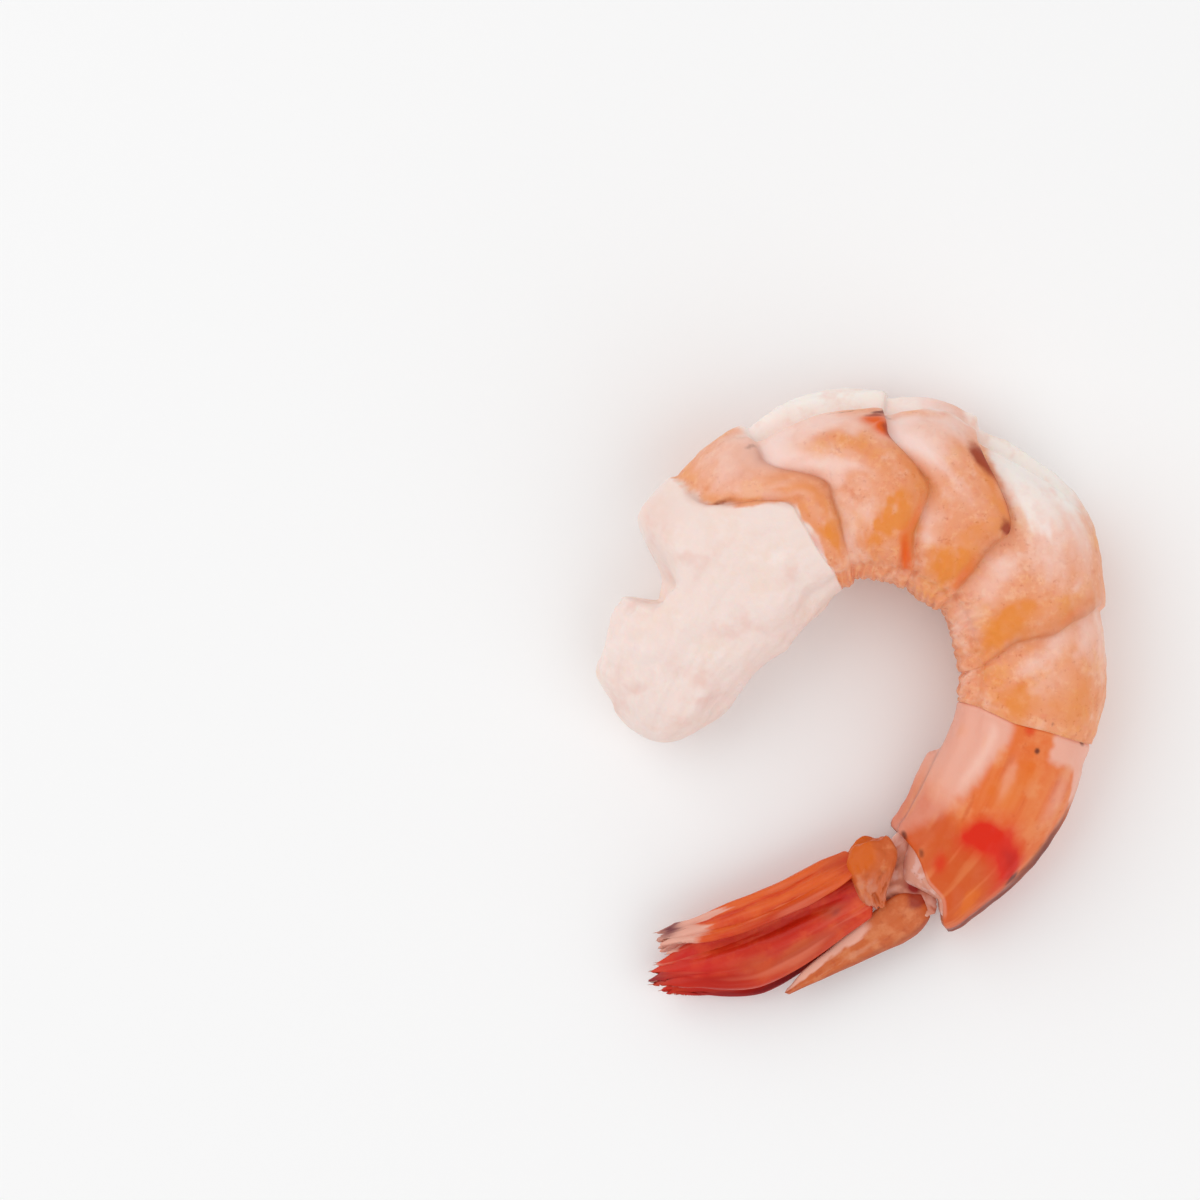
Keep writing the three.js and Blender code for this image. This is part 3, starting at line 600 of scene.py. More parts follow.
stub_alongs = np.linspace(SHELL_EDGE + STEP_LENGTH, STUB_END - 2, STUB_ROWS)
stub_ends = [(a, 1.0) for a in stub_alongs] + [(STUB_END - 0.8, 0.8), (STUB_END - 0.1, 0.4)]
stub_rings = [inner_ring(a, meat_angles, SHELL_WALL + GAP, scale) for a, scale in stub_ends]
meat_rings = np.concatenate([meat_rings, stub_rings])
meat_tip = body_points(np.float64(TIP["at"]), 0.0, 0.0, soft=True)
stub_tip = body_points(np.float64(STUB_END), 0.0, 0.0, soft=False)
print("meat grid:", meat_rings.shape[0], "rings of", meat_rings.shape[1], "corners")

# %% [markdown]
# ## Where the colours go
#
# Cooking turns the thin skin of the rings salmon, while the bare flesh stays white. Each
# colour has a mask: one number for each corner of the grid, kept as an attribute of the
# mesh. A patch of colour is a bell in ring coordinates: its place along the body, its angle
# from the back, its two half widths and its strength. Both flanks get the same patches.

# %% Patches of colour on the meat
BELL_POWER = 1.2


def bells(rows, x, y):
    """Largest of several bells, each given by its two places, two half widths and strength."""
    total = np.zeros(np.shape(x))
    for x_place, y_place, x_width, y_width, strength in rows:
        far = ((x - x_place) / x_width) ** 2 + ((y - y_place) / y_width) ** 2
        total = np.maximum(total, strength * np.exp(-(far**BELL_POWER)))
    return total


MEAT_AMBER = [
    (27.4, 108, 0.9, 14, 1.2), (27.5, 62, 0.7, 9, 0.5), (27.2, 80, 0.9, 10, 0.7),
    (25.5, 52, 0.45, 18, 0.7), (25.2, 84, 0.5, 12, 0.5), (25.6, 22, 0.8, 12, 0.4),
    (35.2, 97, 1.3, 11, 1.3), (34.0, 107, 1.5, 9, 1.3), (32.6, 119, 1.3, 9, 0.9),
    (36.8, 112, 0.9, 22, 1.0), (37.0, 78, 1.0, 12, 0.5), (34.4, 58, 1.2, 9, 0.35),
    (42.4, 122, 2.1, 14, 1.2), (44.4, 112, 1.2, 12, 1.1), (44.2, 62, 1.2, 14, 0.7),
    (43.4, 92, 1.2, 9, 0.6), (53.4, 112, 1.7, 24, 1.2), (54.6, 62, 1.0, 20, 0.4),
    (58.6, 66, 1.2, 9, 0.4), (62.4, 104, 1.6, 22, 0.9), (62.0, 56, 2.2, 24, 0.6),
    (60.0, 128, 1.4, 10, 0.4),
]
MEAT_PALE = [
    (27.4, 42, 1.5, 14, 0.75), (26.3, 28, 1.2, 12, 0.6), (27.0, 64, 1.8, 20, 0.5),
    (29.8, 40, 2.6, 28, 1.3), (30.4, 64, 2.0, 15, 1.0), (33.2, 30, 3.4, 13, 1.0),
    (39.4, 43, 2.6, 21, 1.3), (42.6, 31, 3.2, 12, 1.0),
    (41.6, 8, 2.8, 14, 1.3), (44.2, 20, 1.6, 12, 1.2),
    (31.6, 96, 1.8, 12, 0.6), (29.8, 112, 1.2, 18, 0.6), (38.7, 106, 1.4, 16, 0.7),
    (50.9, 58, 2.4, 18, 0.55), (52.0, 38, 2.2, 16, 0.6), (48.0, 92, 2.0, 18, 0.75),
    (48.8, 110, 2.2, 18, 0.55), (51.0, 78, 2.0, 14, 0.1), (49.6, 140, 2.4, 18, 0.5),
    (57.2, 48, 2.0, 18, 0.75), (57.6, 74, 1.8, 16, 0.75), (58.6, 94, 1.8, 14, 0.55),
    (57.8, 24, 2.6, 16, 0.7), (60.8, 80, 1.6, 20, 0.35),
]
MEAT_RED = [
    (37.2, 45, 0.5, 7, 1.1), (36.8, 39, 0.8, 5, 1.1), (36.7, 124, 0.75, 17, 1.0),
    (37.1, 100, 0.35, 14, 0.45), (45.3, 118, 0.6, 14, 0.5), (25.4, 108, 0.3, 8, 0.4),
    (55.4, 60, 0.3, 10, 0.3),
]
MEAT_RUST = [
    (45.2, 46, 1.1, 8, 1.1), (45.9, 58, 0.35, 14, 0.8), (45.4, 74, 0.55, 5, 0.9),
    (37.5, 47, 0.4, 7, 0.8), (37.0, 34, 0.7, 3, 0.8), (25.4, 50, 0.4, 5, 0.5),
    (37.3, 70, 0.25, 12, 0.4),
]
MEAT_DARK = [
    (37.4, 30, 0.7, 2.2, 1.1), (35.2, 27.5, 1.5, 0.9, 0.5), (45.9, 43, 0.4, 3, 0.7),
    (45.8, 75, 0.25, 3, 0.6), (25.3, 47, 0.28, 2.2, 0.6), (64.2, 74, 0.2, 3, 0.5),
    (28.4, 30, 0.3, 3, 0.5), (13.0, 52, 0.3, 3, 0.3),
]
BARE_BACK = [(48.8, 22, 2.9, 34, 1.0), (49.2, 46, 2.0, 14, 0.9)]
LOBE_SHADE = [(20.5, 26, 3.0, 14, 0.2)]
print("patches on the meat:", sum(map(len, (MEAT_AMBER, MEAT_PALE, MEAT_RED, MEAT_RUST, MEAT_DARK))))

# %% [markdown]
# Borders between colours are uneven, so the coordinates of the patches are bent by noise:
# `ragged` is fine, while `drift` and `sway` are slow. Where the skin starts behind the head
# end, and where it is cut off along the back, its border is bent the same way.

# %% Where the skin is
MEAT_RAGGED = [(1.0, 0.9, 8), (0.6, 0.4, 15)]
SLOW_LENGTH, SLOW_WAVES = 2.1, 4.2
# Bulges of the skin's front border: reach along the body, angle from the back, width.
SKIN_BULGES = [(0.7, 103.0, 16.0), (-0.7, 63.0, 9.0)]
SKIN_BLEND = (-0.5, 0.8)
FAR_FACE = dict(cut=(0.1, 0.75), near_border=(19.0, 14.0), far_border=(-30.0, -18.0))
BARE_BACK_FROM = (46.2, 47.0)

turn = turned(angle)
from_back = np.abs(turn)
ragged = skin_noises(MEAT_RAGGED, along, angle)
drift = skin_noise(along, angle, SLOW_LENGTH, SLOW_WAVES, shift=(0, 0, 30))
sway = skin_noise(along, angle, SLOW_LENGTH, SLOW_WAVES, shift=(17, 0, 0))

bulges = sum(reach * bump(from_back, place, width) for reach, place, width in SKIN_BULGES)
in_skin = ease(*SKIN_BLEND, along - SKIN_START - bulges + 0.3 * ragged)
cut_shown = cut_share(slanted(along, angle) + 0.9 * drift + 0.5 * ragged)
far_face = ease(*FAR_FACE["cut"], cut_shown)
far_face = far_face * ease(*FAR_FACE["near_border"], turn + 1.5 * ragged)
far_face = far_face * ease(*FAR_FACE["far_border"], turn + 2.5 * ragged)
bare_back = bells(BARE_BACK, along + 0.4 * ragged, np.abs(turn + 4 * ragged))
bare_back = np.clip(1.3 * bare_back * ease(*BARE_BACK_FROM, along), 0, 1)
bare = np.maximum(far_face, bare_back)
print(f"bare flesh on {100 * (1 - (in_skin * (1 - bare)).mean()):.0f} % of the corners")

# %% [markdown]
# A brown line and a soft painted shade follow each ring edge on the upper flank: the shade
# darkens the ring just before its edge, where it turns down to the next one. Each row of the
# table gives the strengths of the line and of the shade, and the two angles between which
# they show.

# %% Lines along the ring edges
EDGE_LINES = [
    (0.6, 0.05, 30, 75), (0.7, 0.6, 30, 115), (0.5, 1.0, 30, 125), (0.7, 1.0, 40, 125),
    (0.5, 1.0, 20, 125),
]
# The shade is painted shade: a darker band just before each ring edge.
LINE_WIDTH, SHADE_BEFORE, SHADE_WIDTH = 0.3, -0.5, 0.8

edge_line, edge_shade = np.zeros(along.shape), np.zeros(along.shape)
for edge, (line_strength, shade_strength, angle_from, angle_to) in zip(RING_EDGES, EDGE_LINES):
    shown = between(angle_from - 8, angle_from + 8, angle_to - 10, angle_to + 14, from_back)
    past_line = along - edge[PLACE] + 0.1 * ragged
    line, shade = bump(past_line, 0.0, LINE_WIDTH), bump(past_line, SHADE_BEFORE, SHADE_WIDTH)
    edge_line = np.maximum(edge_line, line_strength * shown * line)
    edge_shade = np.maximum(edge_shade, shade_strength * shown * shade)
edge_line = edge_line * (0.75 + 0.25 * ragged)
edge_shade = np.maximum(edge_shade * (0.6 + 0.5 * sway), bells(LOBE_SHADE, along, from_back))
print("ring edges with a line:", len(EDGE_LINES))

# %% [markdown]
# Now the masks are complete. The hidden stub repeats the values of the last visible ring.

# %% Make the meat
def bent(rows, along_bend, turn_bend):
    """Bells in ring coordinates that are bent by two fields of noise."""
    return bells(rows, along + along_bend, np.abs(turn + turn_bend))


meat_masks = {
    "skin": in_skin * (1 - bare),
    "bare": bare * in_skin,
    "amber": bent(MEAT_AMBER, 0.7 * drift + 0.5 * ragged, 9 * sway + 5 * ragged),
    "pale": bent(MEAT_PALE, 0.8 * drift + 0.3 * ragged, 12 * sway + 3 * ragged),
    "red": bent(MEAT_RED, 0.12 * ragged, ragged),
    "dark": bent(MEAT_DARK, 0.12 * ragged, 2 * ragged),
    "rust": bent(MEAT_RUST, 0.15 * ragged, 1.5 * ragged),
    "line": np.clip(edge_line, 0, 1),
    "shade": np.clip(edge_shade, 0, 1),
}
for key, values in meat_masks.items():
    meat_masks[key] = np.pad(values, ((0, len(stub_rings)), (0, 0)), "edge")
meat = tube_piece("meat_flesh", meat_rings, meat_tip, stub_tip, meat_masks)
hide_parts("meat")

# %% [markdown]
# ## The tail shell
#
# The shell is a cup: outside from the front edge to the rear rim, then the soft skin that
# closes its rear, and back along the inside. One stack of rings describes all of it, so the
# wall has a true thickness. Its outside gets long shallow pleats and small dents.

# %% Outside of the shell
SHELL_FRONT, RIM_FROM = SHELL_EDGE + 0.05, 83.4
SHELL_TURNS = [(-14, 46, 54), (46, 136, 72), (136, 224, 56), (224, 346, 50)]
SHELL_DENTS = [(0.13, 3.3, 2.4), (0.05, 0.9, 7)]
# Height, angle and width of the pleats beside the belly, which run at a slant.
PLEATS = [(-0.07, 131.0, 5.0), (-0.07, 160.0, 5.0), (0.08, 146.0, 7.0)]
PLEAT_SLANT, PLEAT_PLACE = 0.9, 74.0
HOLLOW = dict(depth=0.3, place=70.5, length=1.6, angle=66.0, spread=16.0)
# Height, place and width of the raised rims at the front edge and the rear rim.
RAISED_RIMS = [(0.12, SHELL_FRONT + 0.5, 0.5), (0.12, 83.2, 0.7)]
EDGE_LENGTH, FRONT_ROUND, REAR_ROUND = 0.3, 0.1, 0.15


def shell_detail(along, angle):
    """Long pleats beside the belly, dents, a shallow hollow on the flank, and raised rims."""
    from_back = np.abs(turned(angle))
    pleat_angle = from_back + PLEAT_SLANT * (along - PLEAT_PLACE)
    surface = sum(height * bump(pleat_angle, place, width) for height, place, width in PLEATS)
    surface = surface + skin_noises(SHELL_DENTS, along, angle)
    hollow = HOLLOW["depth"] * bump(along, HOLLOW["place"], HOLLOW["length"])
    surface = surface - hollow * bump(from_back, HOLLOW["angle"], HOLLOW["spread"])
    rims = sum(height * bump(along, place, width) for height, place, width in RAISED_RIMS)
    fade = between(SHELL_FRONT, SHELL_FRONT + 1.2, RIM_FROM, SHELL_RIM, along)
    return fade * surface + rims * ease(0.0, EDGE_LENGTH, along - SHELL_FRONT)


def edge_rounding(along):
    """How far the outside draws in at the front edge and at the rear rim."""
    front = FRONT_ROUND * (1 - ease(0.0, EDGE_LENGTH, along - SHELL_FRONT))
    return front + REAR_ROUND * ease(-EDGE_LENGTH, 0.0, along - SHELL_RIM)


shell_angles = spread(SHELL_TURNS)
outer_alongs = np.concatenate([
    np.linspace(SHELL_FRONT, SHELL_FRONT + 1.0, 10, endpoint=False),
    np.linspace(SHELL_FRONT + 1.0, SHELL_RIM - 0.5, 110, endpoint=False),
    np.linspace(SHELL_RIM - 0.5, SHELL_RIM, 6),
])
along, angle = np.meshgrid(outer_alongs, shell_angles, indexing="ij")
reach = shell_reach(along, angle) + shell_detail(along, angle) - edge_rounding(along)
outer_rings = body_points(slanted(along, angle), angle, reach, soft=False)
print("outside of the shell:", len(outer_rings), "rings")

# %% [markdown]
# Inside, nine rings run back to a blunt end. Behind, the rear skin springs from just inside
# the rim. It has a low cushion towards the belly, where the fan is joined on, and knots.

# %% Inside and rear skin of the shell
SHELL_INSIDE_END, INSIDE_ROWS, SKIN_ROWS = 80.4, 7, 25
MEMBRANE = dict(lip=0.7, recess=0.6, bulge=0.3, narrowing=0.94, knots=0.22)
JOINT_SKIN = dict(height=1.6, belly=3.1, up=0.9, half_width=2.4, half_height=2.8)

inside_alongs = np.linspace(SHELL_FRONT, SHELL_INSIDE_END - 2, INSIDE_ROWS)[::-1]
inside = [(SHELL_INSIDE_END - 0.1, 0.4), (SHELL_INSIDE_END - 0.7, 0.82)]
inside += [(a, 1.0) for a in inside_alongs]
inner_rings = np.array([inner_ring(a, shell_angles, SHELL_WALL, s) for a, s in inside])


def rear_skin_ring(t):
    """Ring of the rear skin: t runs from 0 at the rim to 1 in the middle of the opening."""
    back, side = round_body(shell_angles)
    place = np.full(shell_angles.shape, SHELL_RIM - MEMBRANE["recess"] * bump(t, 0.12, 0.12))
    straight = ease(0.1, 0.6, t)
    skin_at = slanted(place, shell_angles) * (1 - straight) + place * straight
    skin_at = skin_at + MEMBRANE["bulge"] * ease(0.3, 1.0, t)
    inset = MEMBRANE["lip"] + 0.3 * t
    reach = (shell_reach(place, shell_angles) - inset) * (1 - MEMBRANE["narrowing"] * t)
    cushion = bump(-reach * back, JOINT_SKIN["belly"], JOINT_SKIN["half_width"])
    cushion = cushion * bump(reach * side, JOINT_SKIN["up"], JOINT_SKIN["half_height"])
    skin_at = skin_at + JOINT_SKIN["height"] * cushion * ease(0.1, 0.3, t)
    knots = noise(4 + 3 * t, 3.3 * back, 3.3 * side) * ease(0.15, 0.4, t) * (1 - t)
    return body_points(skin_at + MEMBRANE["knots"] * knots, shell_angles, reach, soft=False)


skin_turns = np.linspace(0.0, 1.0, SKIN_ROWS)
skin_rings = [rear_skin_ring(t) for t in skin_turns]
shell_rings = np.concatenate([inner_rings, outer_rings, skin_rings])
inside_tip = body_points(np.float64(SHELL_INSIDE_END), 0.0, 0.0, soft=False)
skin_tip = body_points(np.float64(SHELL_RIM + MEMBRANE["bulge"]), 0.0, 0.0, soft=False)
print("shell grid:", shell_rings.shape[0], "rings of", shell_rings.shape[1], "corners")

# %% [markdown]
# ## The shell's colours
#
# The front and the belly side of the shell lie thin over white flesh, so they look pale
# pink. A lighter streak along them, and two small light spots, are painted highlight. The
# pale border is a curve: places along the shell, and the angle where the pale side starts
# there.

# %% Pale parts of the shell
SHELL_RAGGED = [(1.0, 1.1, 6), (0.6, 0.5, 12)]
PALE_BORDER = [(64, 106), (68, 111), (71, 121), (75, 126), (78, 134), (81, 146), (84, 158)]
PALE_SIDE = dict(blend=(-13.0, 10.0), fade=(70.0, 79.0), loss=0.5)
PALE_FRONT = dict(along=(68.2, 66.4), angle=(74.0, 60.0))
PALE_BACK = dict(
    place=67.0, further=2.6, further_at=(46.0, 16.0), blend=(0.9, -0.9), angle=(60.0, 40.0),
    strength=0.85)
PALE_RIM = dict(strength=0.45, along=(83.6, 84.0), angles=(38.0, 60.0, 112.0, 128.0))
# Painted highlight: a light streak along this line of places and angles, and two small light spots.
PAINTED_HIGHLIGHT_LINE = [(65, 124), (68, 123), (72, 130), (76, 138)]
PAINTED_HIGHLIGHT = dict(strength=0.65, width=4.5, along=(65.2, 67.0, 71.0, 78.0))
SHELL_HIGHLIGHT_SPOTS = [(70.6, 96, 2.2, 6, 0.35), (69.8, 41, 2.4, 9, 0.45)]

turn = turned(angle)
from_back = np.abs(turn)
ragged = skin_noises(SHELL_RAGGED, along, angle)
drift = skin_noise(along, angle, 2.4, 2.6)

border = np.interp(along, *zip(*PALE_BORDER))
pale_side = ease(*PALE_SIDE["blend"], from_back - border + 2 * ragged)
pale_side = pale_side * (1 - PALE_SIDE["loss"] * ease(*PALE_SIDE["fade"], along))
pale_front = ease(*PALE_FRONT["along"], along + 0.3 * ragged)
pale_front = pale_front * ease(*PALE_FRONT["angle"], from_back + 3 * ragged)
back_reach = PALE_BACK["place"] + PALE_BACK["further"] * ease(*PALE_BACK["further_at"], from_back)
pale_back = ease(*PALE_BACK["blend"], along - back_reach + 0.5 * ragged + 1.3 * drift)
pale_back = PALE_BACK["strength"] * pale_back * ease(*PALE_BACK["angle"], from_back)
pale_rim = ease(*PALE_RIM["along"], along) * between(*PALE_RIM["angles"], from_back)
painted_highlight = bump(from_back + ragged, np.interp(along, *zip(*PAINTED_HIGHLIGHT_LINE)), PAINTED_HIGHLIGHT["width"])
painted_highlight = PAINTED_HIGHLIGHT["strength"] * painted_highlight * between(*PAINTED_HIGHLIGHT["along"], along)
highlight_spots = bells(SHELL_HIGHLIGHT_SPOTS, along + 0.3 * ragged, np.abs(turn + ragged))
pale_parts = [pale_side, pale_front, pale_back, PALE_RIM["strength"] * pale_rim]
shell_masks = {
    "pale": np.maximum.reduce(pale_parts),
    "painted_highlight": np.maximum(painted_highlight, highlight_spots),
}
print(f"pale share of the shell: {100 * shell_masks['pale'].mean():.0f} %")

# %% [markdown]
# Towards the rear the shell turns orange and then a deeper orange, with one strong red band
# across the flank that bends towards the head in its middle. Thin lighter and darker lines
# run along the shell.

# %% Orange and red of the shell
RED_BAND = [(28, 77.4), (43, 76.7), (67, 76.2), (92, 76.5), (114, 77.4)]
RED = dict(strength=1.35, behind=0.3, half_width=1.9, belly=(122.0, 100.0), back=(22.0, 44.0))
SHELL_RED_SPOTS = [(82.0, 112, 1.0, 9, 0.7), (65.3, 91, 0.5, 5, 0.6), (77.4, 33, 0.6, 6, 0.9)]
SHELL_CRIMSON = [(76.6, 52, 0.9, 14, 1.0), (77.4, 34, 0.8, 8, 0.9)]
SHELL_AMBER = [(69.4, 84, 2.2, 14, 0.9), (72.0, 92, 2.4, 18, 1.0), (81.6, 48, 1.6, 16, 1.0)]
LINE_LENGTH, LINE_DEGREES, FINE_LINE_DEGREES = 4.0, 8.0, 3.4
LINES_ALONG, LINES_ANGLE, DEEP_ALONG = (67.0, 69.0), (24.0, 40.0), (75.5, 80.0)

red_middle = np.interp(from_back, *zip(*RED_BAND)) + RED["behind"]
red = RED["strength"] * bump(along + 0.25 * ragged, red_middle, RED["half_width"])
red = red * ease(*RED["belly"], from_back + 2 * ragged) * ease(*RED["back"], from_back)
lines = noise(from_back / LINE_DEGREES, along / LINE_LENGTH, 3.0)
lines = lines + 0.3 * noise(from_back / FINE_LINE_DEGREES, along / LINE_LENGTH, 8.0)
lines_shown = ease(*LINES_ALONG, along) * ease(*LINES_ANGLE, from_back)
dark_lines = 0.5 * lines_shown * ease(0.2, 0.9, -lines)
shell_masks["red"] = np.clip(np.maximum(red, bells(SHELL_RED_SPOTS, along, from_back)), 0, 1)
shell_masks["crimson"] = bells(SHELL_CRIMSON, along + 0.3 * ragged, from_back)
shell_masks["amber"] = bells(SHELL_AMBER, along + 0.6 * ragged, np.abs(turn + 4 * ragged))
shell_masks["lines"] = 0.3 * lines_shown * ease(0.0, 0.9, lines)
shell_masks["deep"] = np.maximum(ease(*DEEP_ALONG, along + 0.4 * ragged), dark_lines)
print(f"red share of the shell: {100 * shell_masks['red'].mean():.0f} %")

# %% [markdown]
# A dark brown band runs along the back, widest towards the rear; it is partly the shell's own
# colour and partly painted shade on the side turned from the light. A faint one runs along
# the fold of the belly, and a few dark specks are scattered about; two of them, at the rear
# rim on the belly side, are painted shadow where the rim meets the rear skin. The inside
# repeats the colours of the front edge, and the rear skin has a mask of its own.

# %% Dark parts, and make the shell
# Dark specks; the rows at 83.5 and 83.9 mm, on the belly side of the rear rim, are painted shadow where
# the rim meets the rear skin.
SHELL_SPECKS_AND_RIM_SHADOW = [
    (67.0, 79, 0.35, 3, 0.9), (77.5, 26, 0.8, 6, 0.9), (83.9, 157, 0.5, 6, 0.8),
    (83.5, 133, 0.5, 5, 0.6), (65.0, 34, 0.3, 5, 0.7),
]
# The back band: the shell's own darker back, deepened by painted shade on the side turned from the
# light.
BACK_BAND = dict(
    along=(66.5, 73.5), half_width=13.0, widening=14.0, widens=(68.0, 74.0), blend=(2.0, -14.0),
    far_border=(-18.0, 2.0), strength=0.9)
FOLD_BAND = dict(along=(70.0, 73.0), angle=180.0, width=7.0, strength=0.35)

band_edge = BACK_BAND["half_width"] + BACK_BAND["widening"] * ease(*BACK_BAND["widens"], along)
back_band = ease(*BACK_BAND["along"], along + 0.8 * drift)
back_band = back_band * ease(*BACK_BAND["blend"], turn + 3 * ragged - band_edge)
back_band = back_band * ease(*BACK_BAND["far_border"], turn + 3 * ragged) * (0.9 + 0.3 * drift)
fold_band = ease(*FOLD_BAND["along"], along) * bump(from_back, FOLD_BAND["angle"], FOLD_BAND["width"])
bands = np.maximum(BACK_BAND["strength"] * back_band, FOLD_BAND["strength"] * fold_band)
shell_masks["dark"] = bells(SHELL_SPECKS_AND_RIM_SHADOW, along, from_back)
shell_masks["back"] = np.clip(bands, 0, 1)

for key, values in shell_masks.items():
    values = np.pad(values, ((len(inner_rings), 0), (0, 0)), "edge")
    shell_masks[key] = np.pad(values, ((0, SKIN_ROWS), (0, 0)))
shell_masks["skin"] = np.zeros(shell_rings.shape[:2])
shell_masks["skin"][-SKIN_ROWS:] = ease(0.0, 0.12, skin_turns)[:, None]
shell = tube_piece("tail_shell_cup", shell_rings, inside_tip, skin_tip, shell_masks)
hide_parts("tail_shell")

# %% [markdown]
# ## The frame of the fan
#
# The fan has its own straight axis, "along" towards the tips and "across" towards the back
# of the shrimp. Its height is measured from a middle line that droops a little, because the
# tips hang down to the table.

# %% Fan axes
FAN = dict(x=5.364, y=-17.483, heading=-158.0, height=4.7, droop=1.1, length=28.0)


def fan_points(along, across, height):
    """Fan origin plus along and across in the table's plane, height over the drooping middle."""
    along, across, height = np.broadcast_arrays(along, across, height)
    turn = math.radians(FAN["heading"])
    middle = FAN["height"] - FAN["droop"] * np.clip(along / FAN["length"], 0.0, 1.0)
    return np.stack([
        FAN["x"] + math.cos(turn) * along - math.sin(turn) * across,
        FAN["y"] + math.sin(turn) * along + math.cos(turn) * across,
        middle + height,
    ], axis=-1)


print("tip of the fan in mm:", np.round(fan_points(FAN["length"], 0.0, 0.0), 1))

# %% [markdown]
# ## The four blades
#
# A shrimp's tail fan has two blades on either side, an outer and an inner one. Each is a
# leaf around a middle surface, which two numbers describe: t runs from the base to the tip,
# and q from one edge to the other. The outer blades are arched more than the inner ones, and
# narrow at the root.

# %% Outline of a blade
BLADES = {
    "left_exopod": dict(
        side=1, start_at=5.4, end_at=25.4, across=-2.6, across_end=-2.7, bow=0.9, base=3.2,
        width=3.2, tip=1.5, crown=3.3, crown_at=1.0, curve=0.12, waves=3, skew=0.0),
    "left_endopod": dict(
        side=1, start_at=5.35, end_at=27.2, across=0.8, across_end=0.1, bow=1.5, base=4.9,
        width=7.3, tip=2.8, crown=1.6, crown_at=2.0, curve=0.05, waves=5, skew=1.6),
    "right_endopod": dict(
        side=-1, start_at=5.35, end_at=26.6, across=0.8, across_end=1.6, bow=1.6, base=4.9,
        width=7.0, tip=2.8, crown=1.5, crown_at=2.2, curve=0.05, waves=5, skew=1.2),
    "right_exopod": dict(
        side=-1, start_at=5.4, end_at=25.4, across=-2.3, across_end=-1.8, bow=0.8, base=3.2,
        width=4.2, tip=2.0, crown=3.1, crown_at=1.0, curve=0.1, waves=4, skew=0.0),
}
OUTER_CROWN, OUTER_TAPER, BLADE_ROOT = 2.0, 0.18, 1.3
FRAY = dict(waves=0.55, round=1.6, threads=0.35)


def blade_across(blade, t, q):
    """Place across the fan: a bowed middle line, plus q times half the width at t."""
    widen = blade["base"] + (blade["width"] - blade["base"]) * ease(0.0, 0.5, t)
    width = blade["tip"] + (widen - blade["tip"]) * (1 - ease(0.55, 1.05, t))
    if blade["crown"] > OUTER_CROWN:
        width = width * (1 - OUTER_TAPER * (1 - ease(0.0, 0.12, t)))
    line = blade["across"] + (blade["across_end"] - blade["across"]) * t
    uneven = 0.12 * noise(5 * t, 3 * q, blade["waves"]) * ease(0.05, 0.3, t)
    return line + blade["bow"] * 4 * t * (1 - t) + q * width / 2 + uneven


def blade_along(blade, t, q):
    """Place along the fan: a rounded root, and a wavy end frayed into threads."""
    fray = FRAY["waves"] * np.cos(blade["waves"] * np.pi * q)
    fray = fray - FRAY["round"] * q**2 + blade["skew"] * q
    threads = FRAY["threads"] * noise(6 * q, 3.0 * t, blade["waves"]) * ease(0.88, 1.0, t)
    root = BLADE_ROOT * (1 - 0.6 * q**2) * (1 - ease(0.0, 0.15, t))
    along = blade["start_at"] + (blade["end_at"] - blade["start_at"]) * t
    return along + fray * ease(0.75, 1.0, t) + threads - root


print("blades:", ", ".join(BLADES))

# %% [markdown]
# Across the leaf the middle surface is an arch. Long ridges run down it, with fine grooves
# and shallow lumps between them. Its thickness falls like a quarter circle at every edge, and
# the two faces lie half a thickness to either side of it.

# %% Surface of a blade
BLADE_THICKNESS, BLADE_RIDGE = 0.7, 0.22
EDGE_SIDES, EDGE_BASE, EDGE_TIP = 0.12, 0.015, 0.02


def blade_middle(blade, t, q):
    """Middle surface: an arch across the leaf with ridges, grooves and shallow lumps."""
    across, seed = blade_across(blade, t, q), blade["waves"]
    arch = blade["crown"] - blade["curve"] * (across - blade["crown_at"]) ** 2
    ridge = BLADE_RIDGE * np.cos(2.5 * np.pi * q) * between(0.0, 0.2, 0.8, 1.0, t)
    groove_phase = q * 3.5 + 0.7 * noise(3 * t, 2 * q, 3 * seed)
    grooves = 0.02 * np.cos(2 * np.pi * groove_phase) * ease(0.02, 0.15, t)
    lumps = 0.1 * noise(6 * t, 2.5 * q, 2 + seed) + 0.04 * noise(16 * t, 6 * q, 5 + seed)
    height = blade["side"] * (arch + ridge + grooves + lumps)
    return fan_points(blade_along(blade, t, q), across, height)


def quarter_circle(distance, radius):
    """Height of a quarter circle: 0 at the edge, and 1 from a radius inwards."""
    return np.sqrt(1 - (1 - np.clip(distance / radius, 0.0, 1.0)) ** 2)


def blade_half_thickness(t, q):
    """Half the thickness, thinner towards the edges, which are rounded."""
    rounded = quarter_circle(1 - np.abs(q), EDGE_SIDES) * quarter_circle(t, EDGE_BASE)
    rounded = rounded * quarter_circle(1 - t, EDGE_TIP)
    thin = 1 - 0.45 * ease(0.8, 1.0, np.maximum(np.abs(q), t))
    return 0.5 * BLADE_THICKNESS * thin * rounded


def two_sided(upper, lower):
    """All corners of the upper face, then those of the lower one inside the shared border."""
    inner = lower[1:-1, 1:-1]
    shape = (-1, *upper.shape[2:])
    return np.concatenate([upper.reshape(shape), inner.reshape(shape)])


def blade_points(blade, t, q):
    """Both faces: half a thickness to either side of the middle, along its normal."""
    along_leaf = blade_middle(blade, t + 0.004, q) - blade_middle(blade, t - 0.004, q)
    across_leaf = blade_middle(blade, t, q + 0.006) - blade_middle(blade, t, q - 0.006)
    normal = np.cross(along_leaf, across_leaf)
    normal = normal / np.linalg.norm(normal, axis=-1, keepdims=True)
    normal = normal * np.sign(normal[..., 2:3])
    middle, half = blade_middle(blade, t, q), blade_half_thickness(t, q)[..., None]
    return two_sided(middle + normal * half, middle - normal * half)


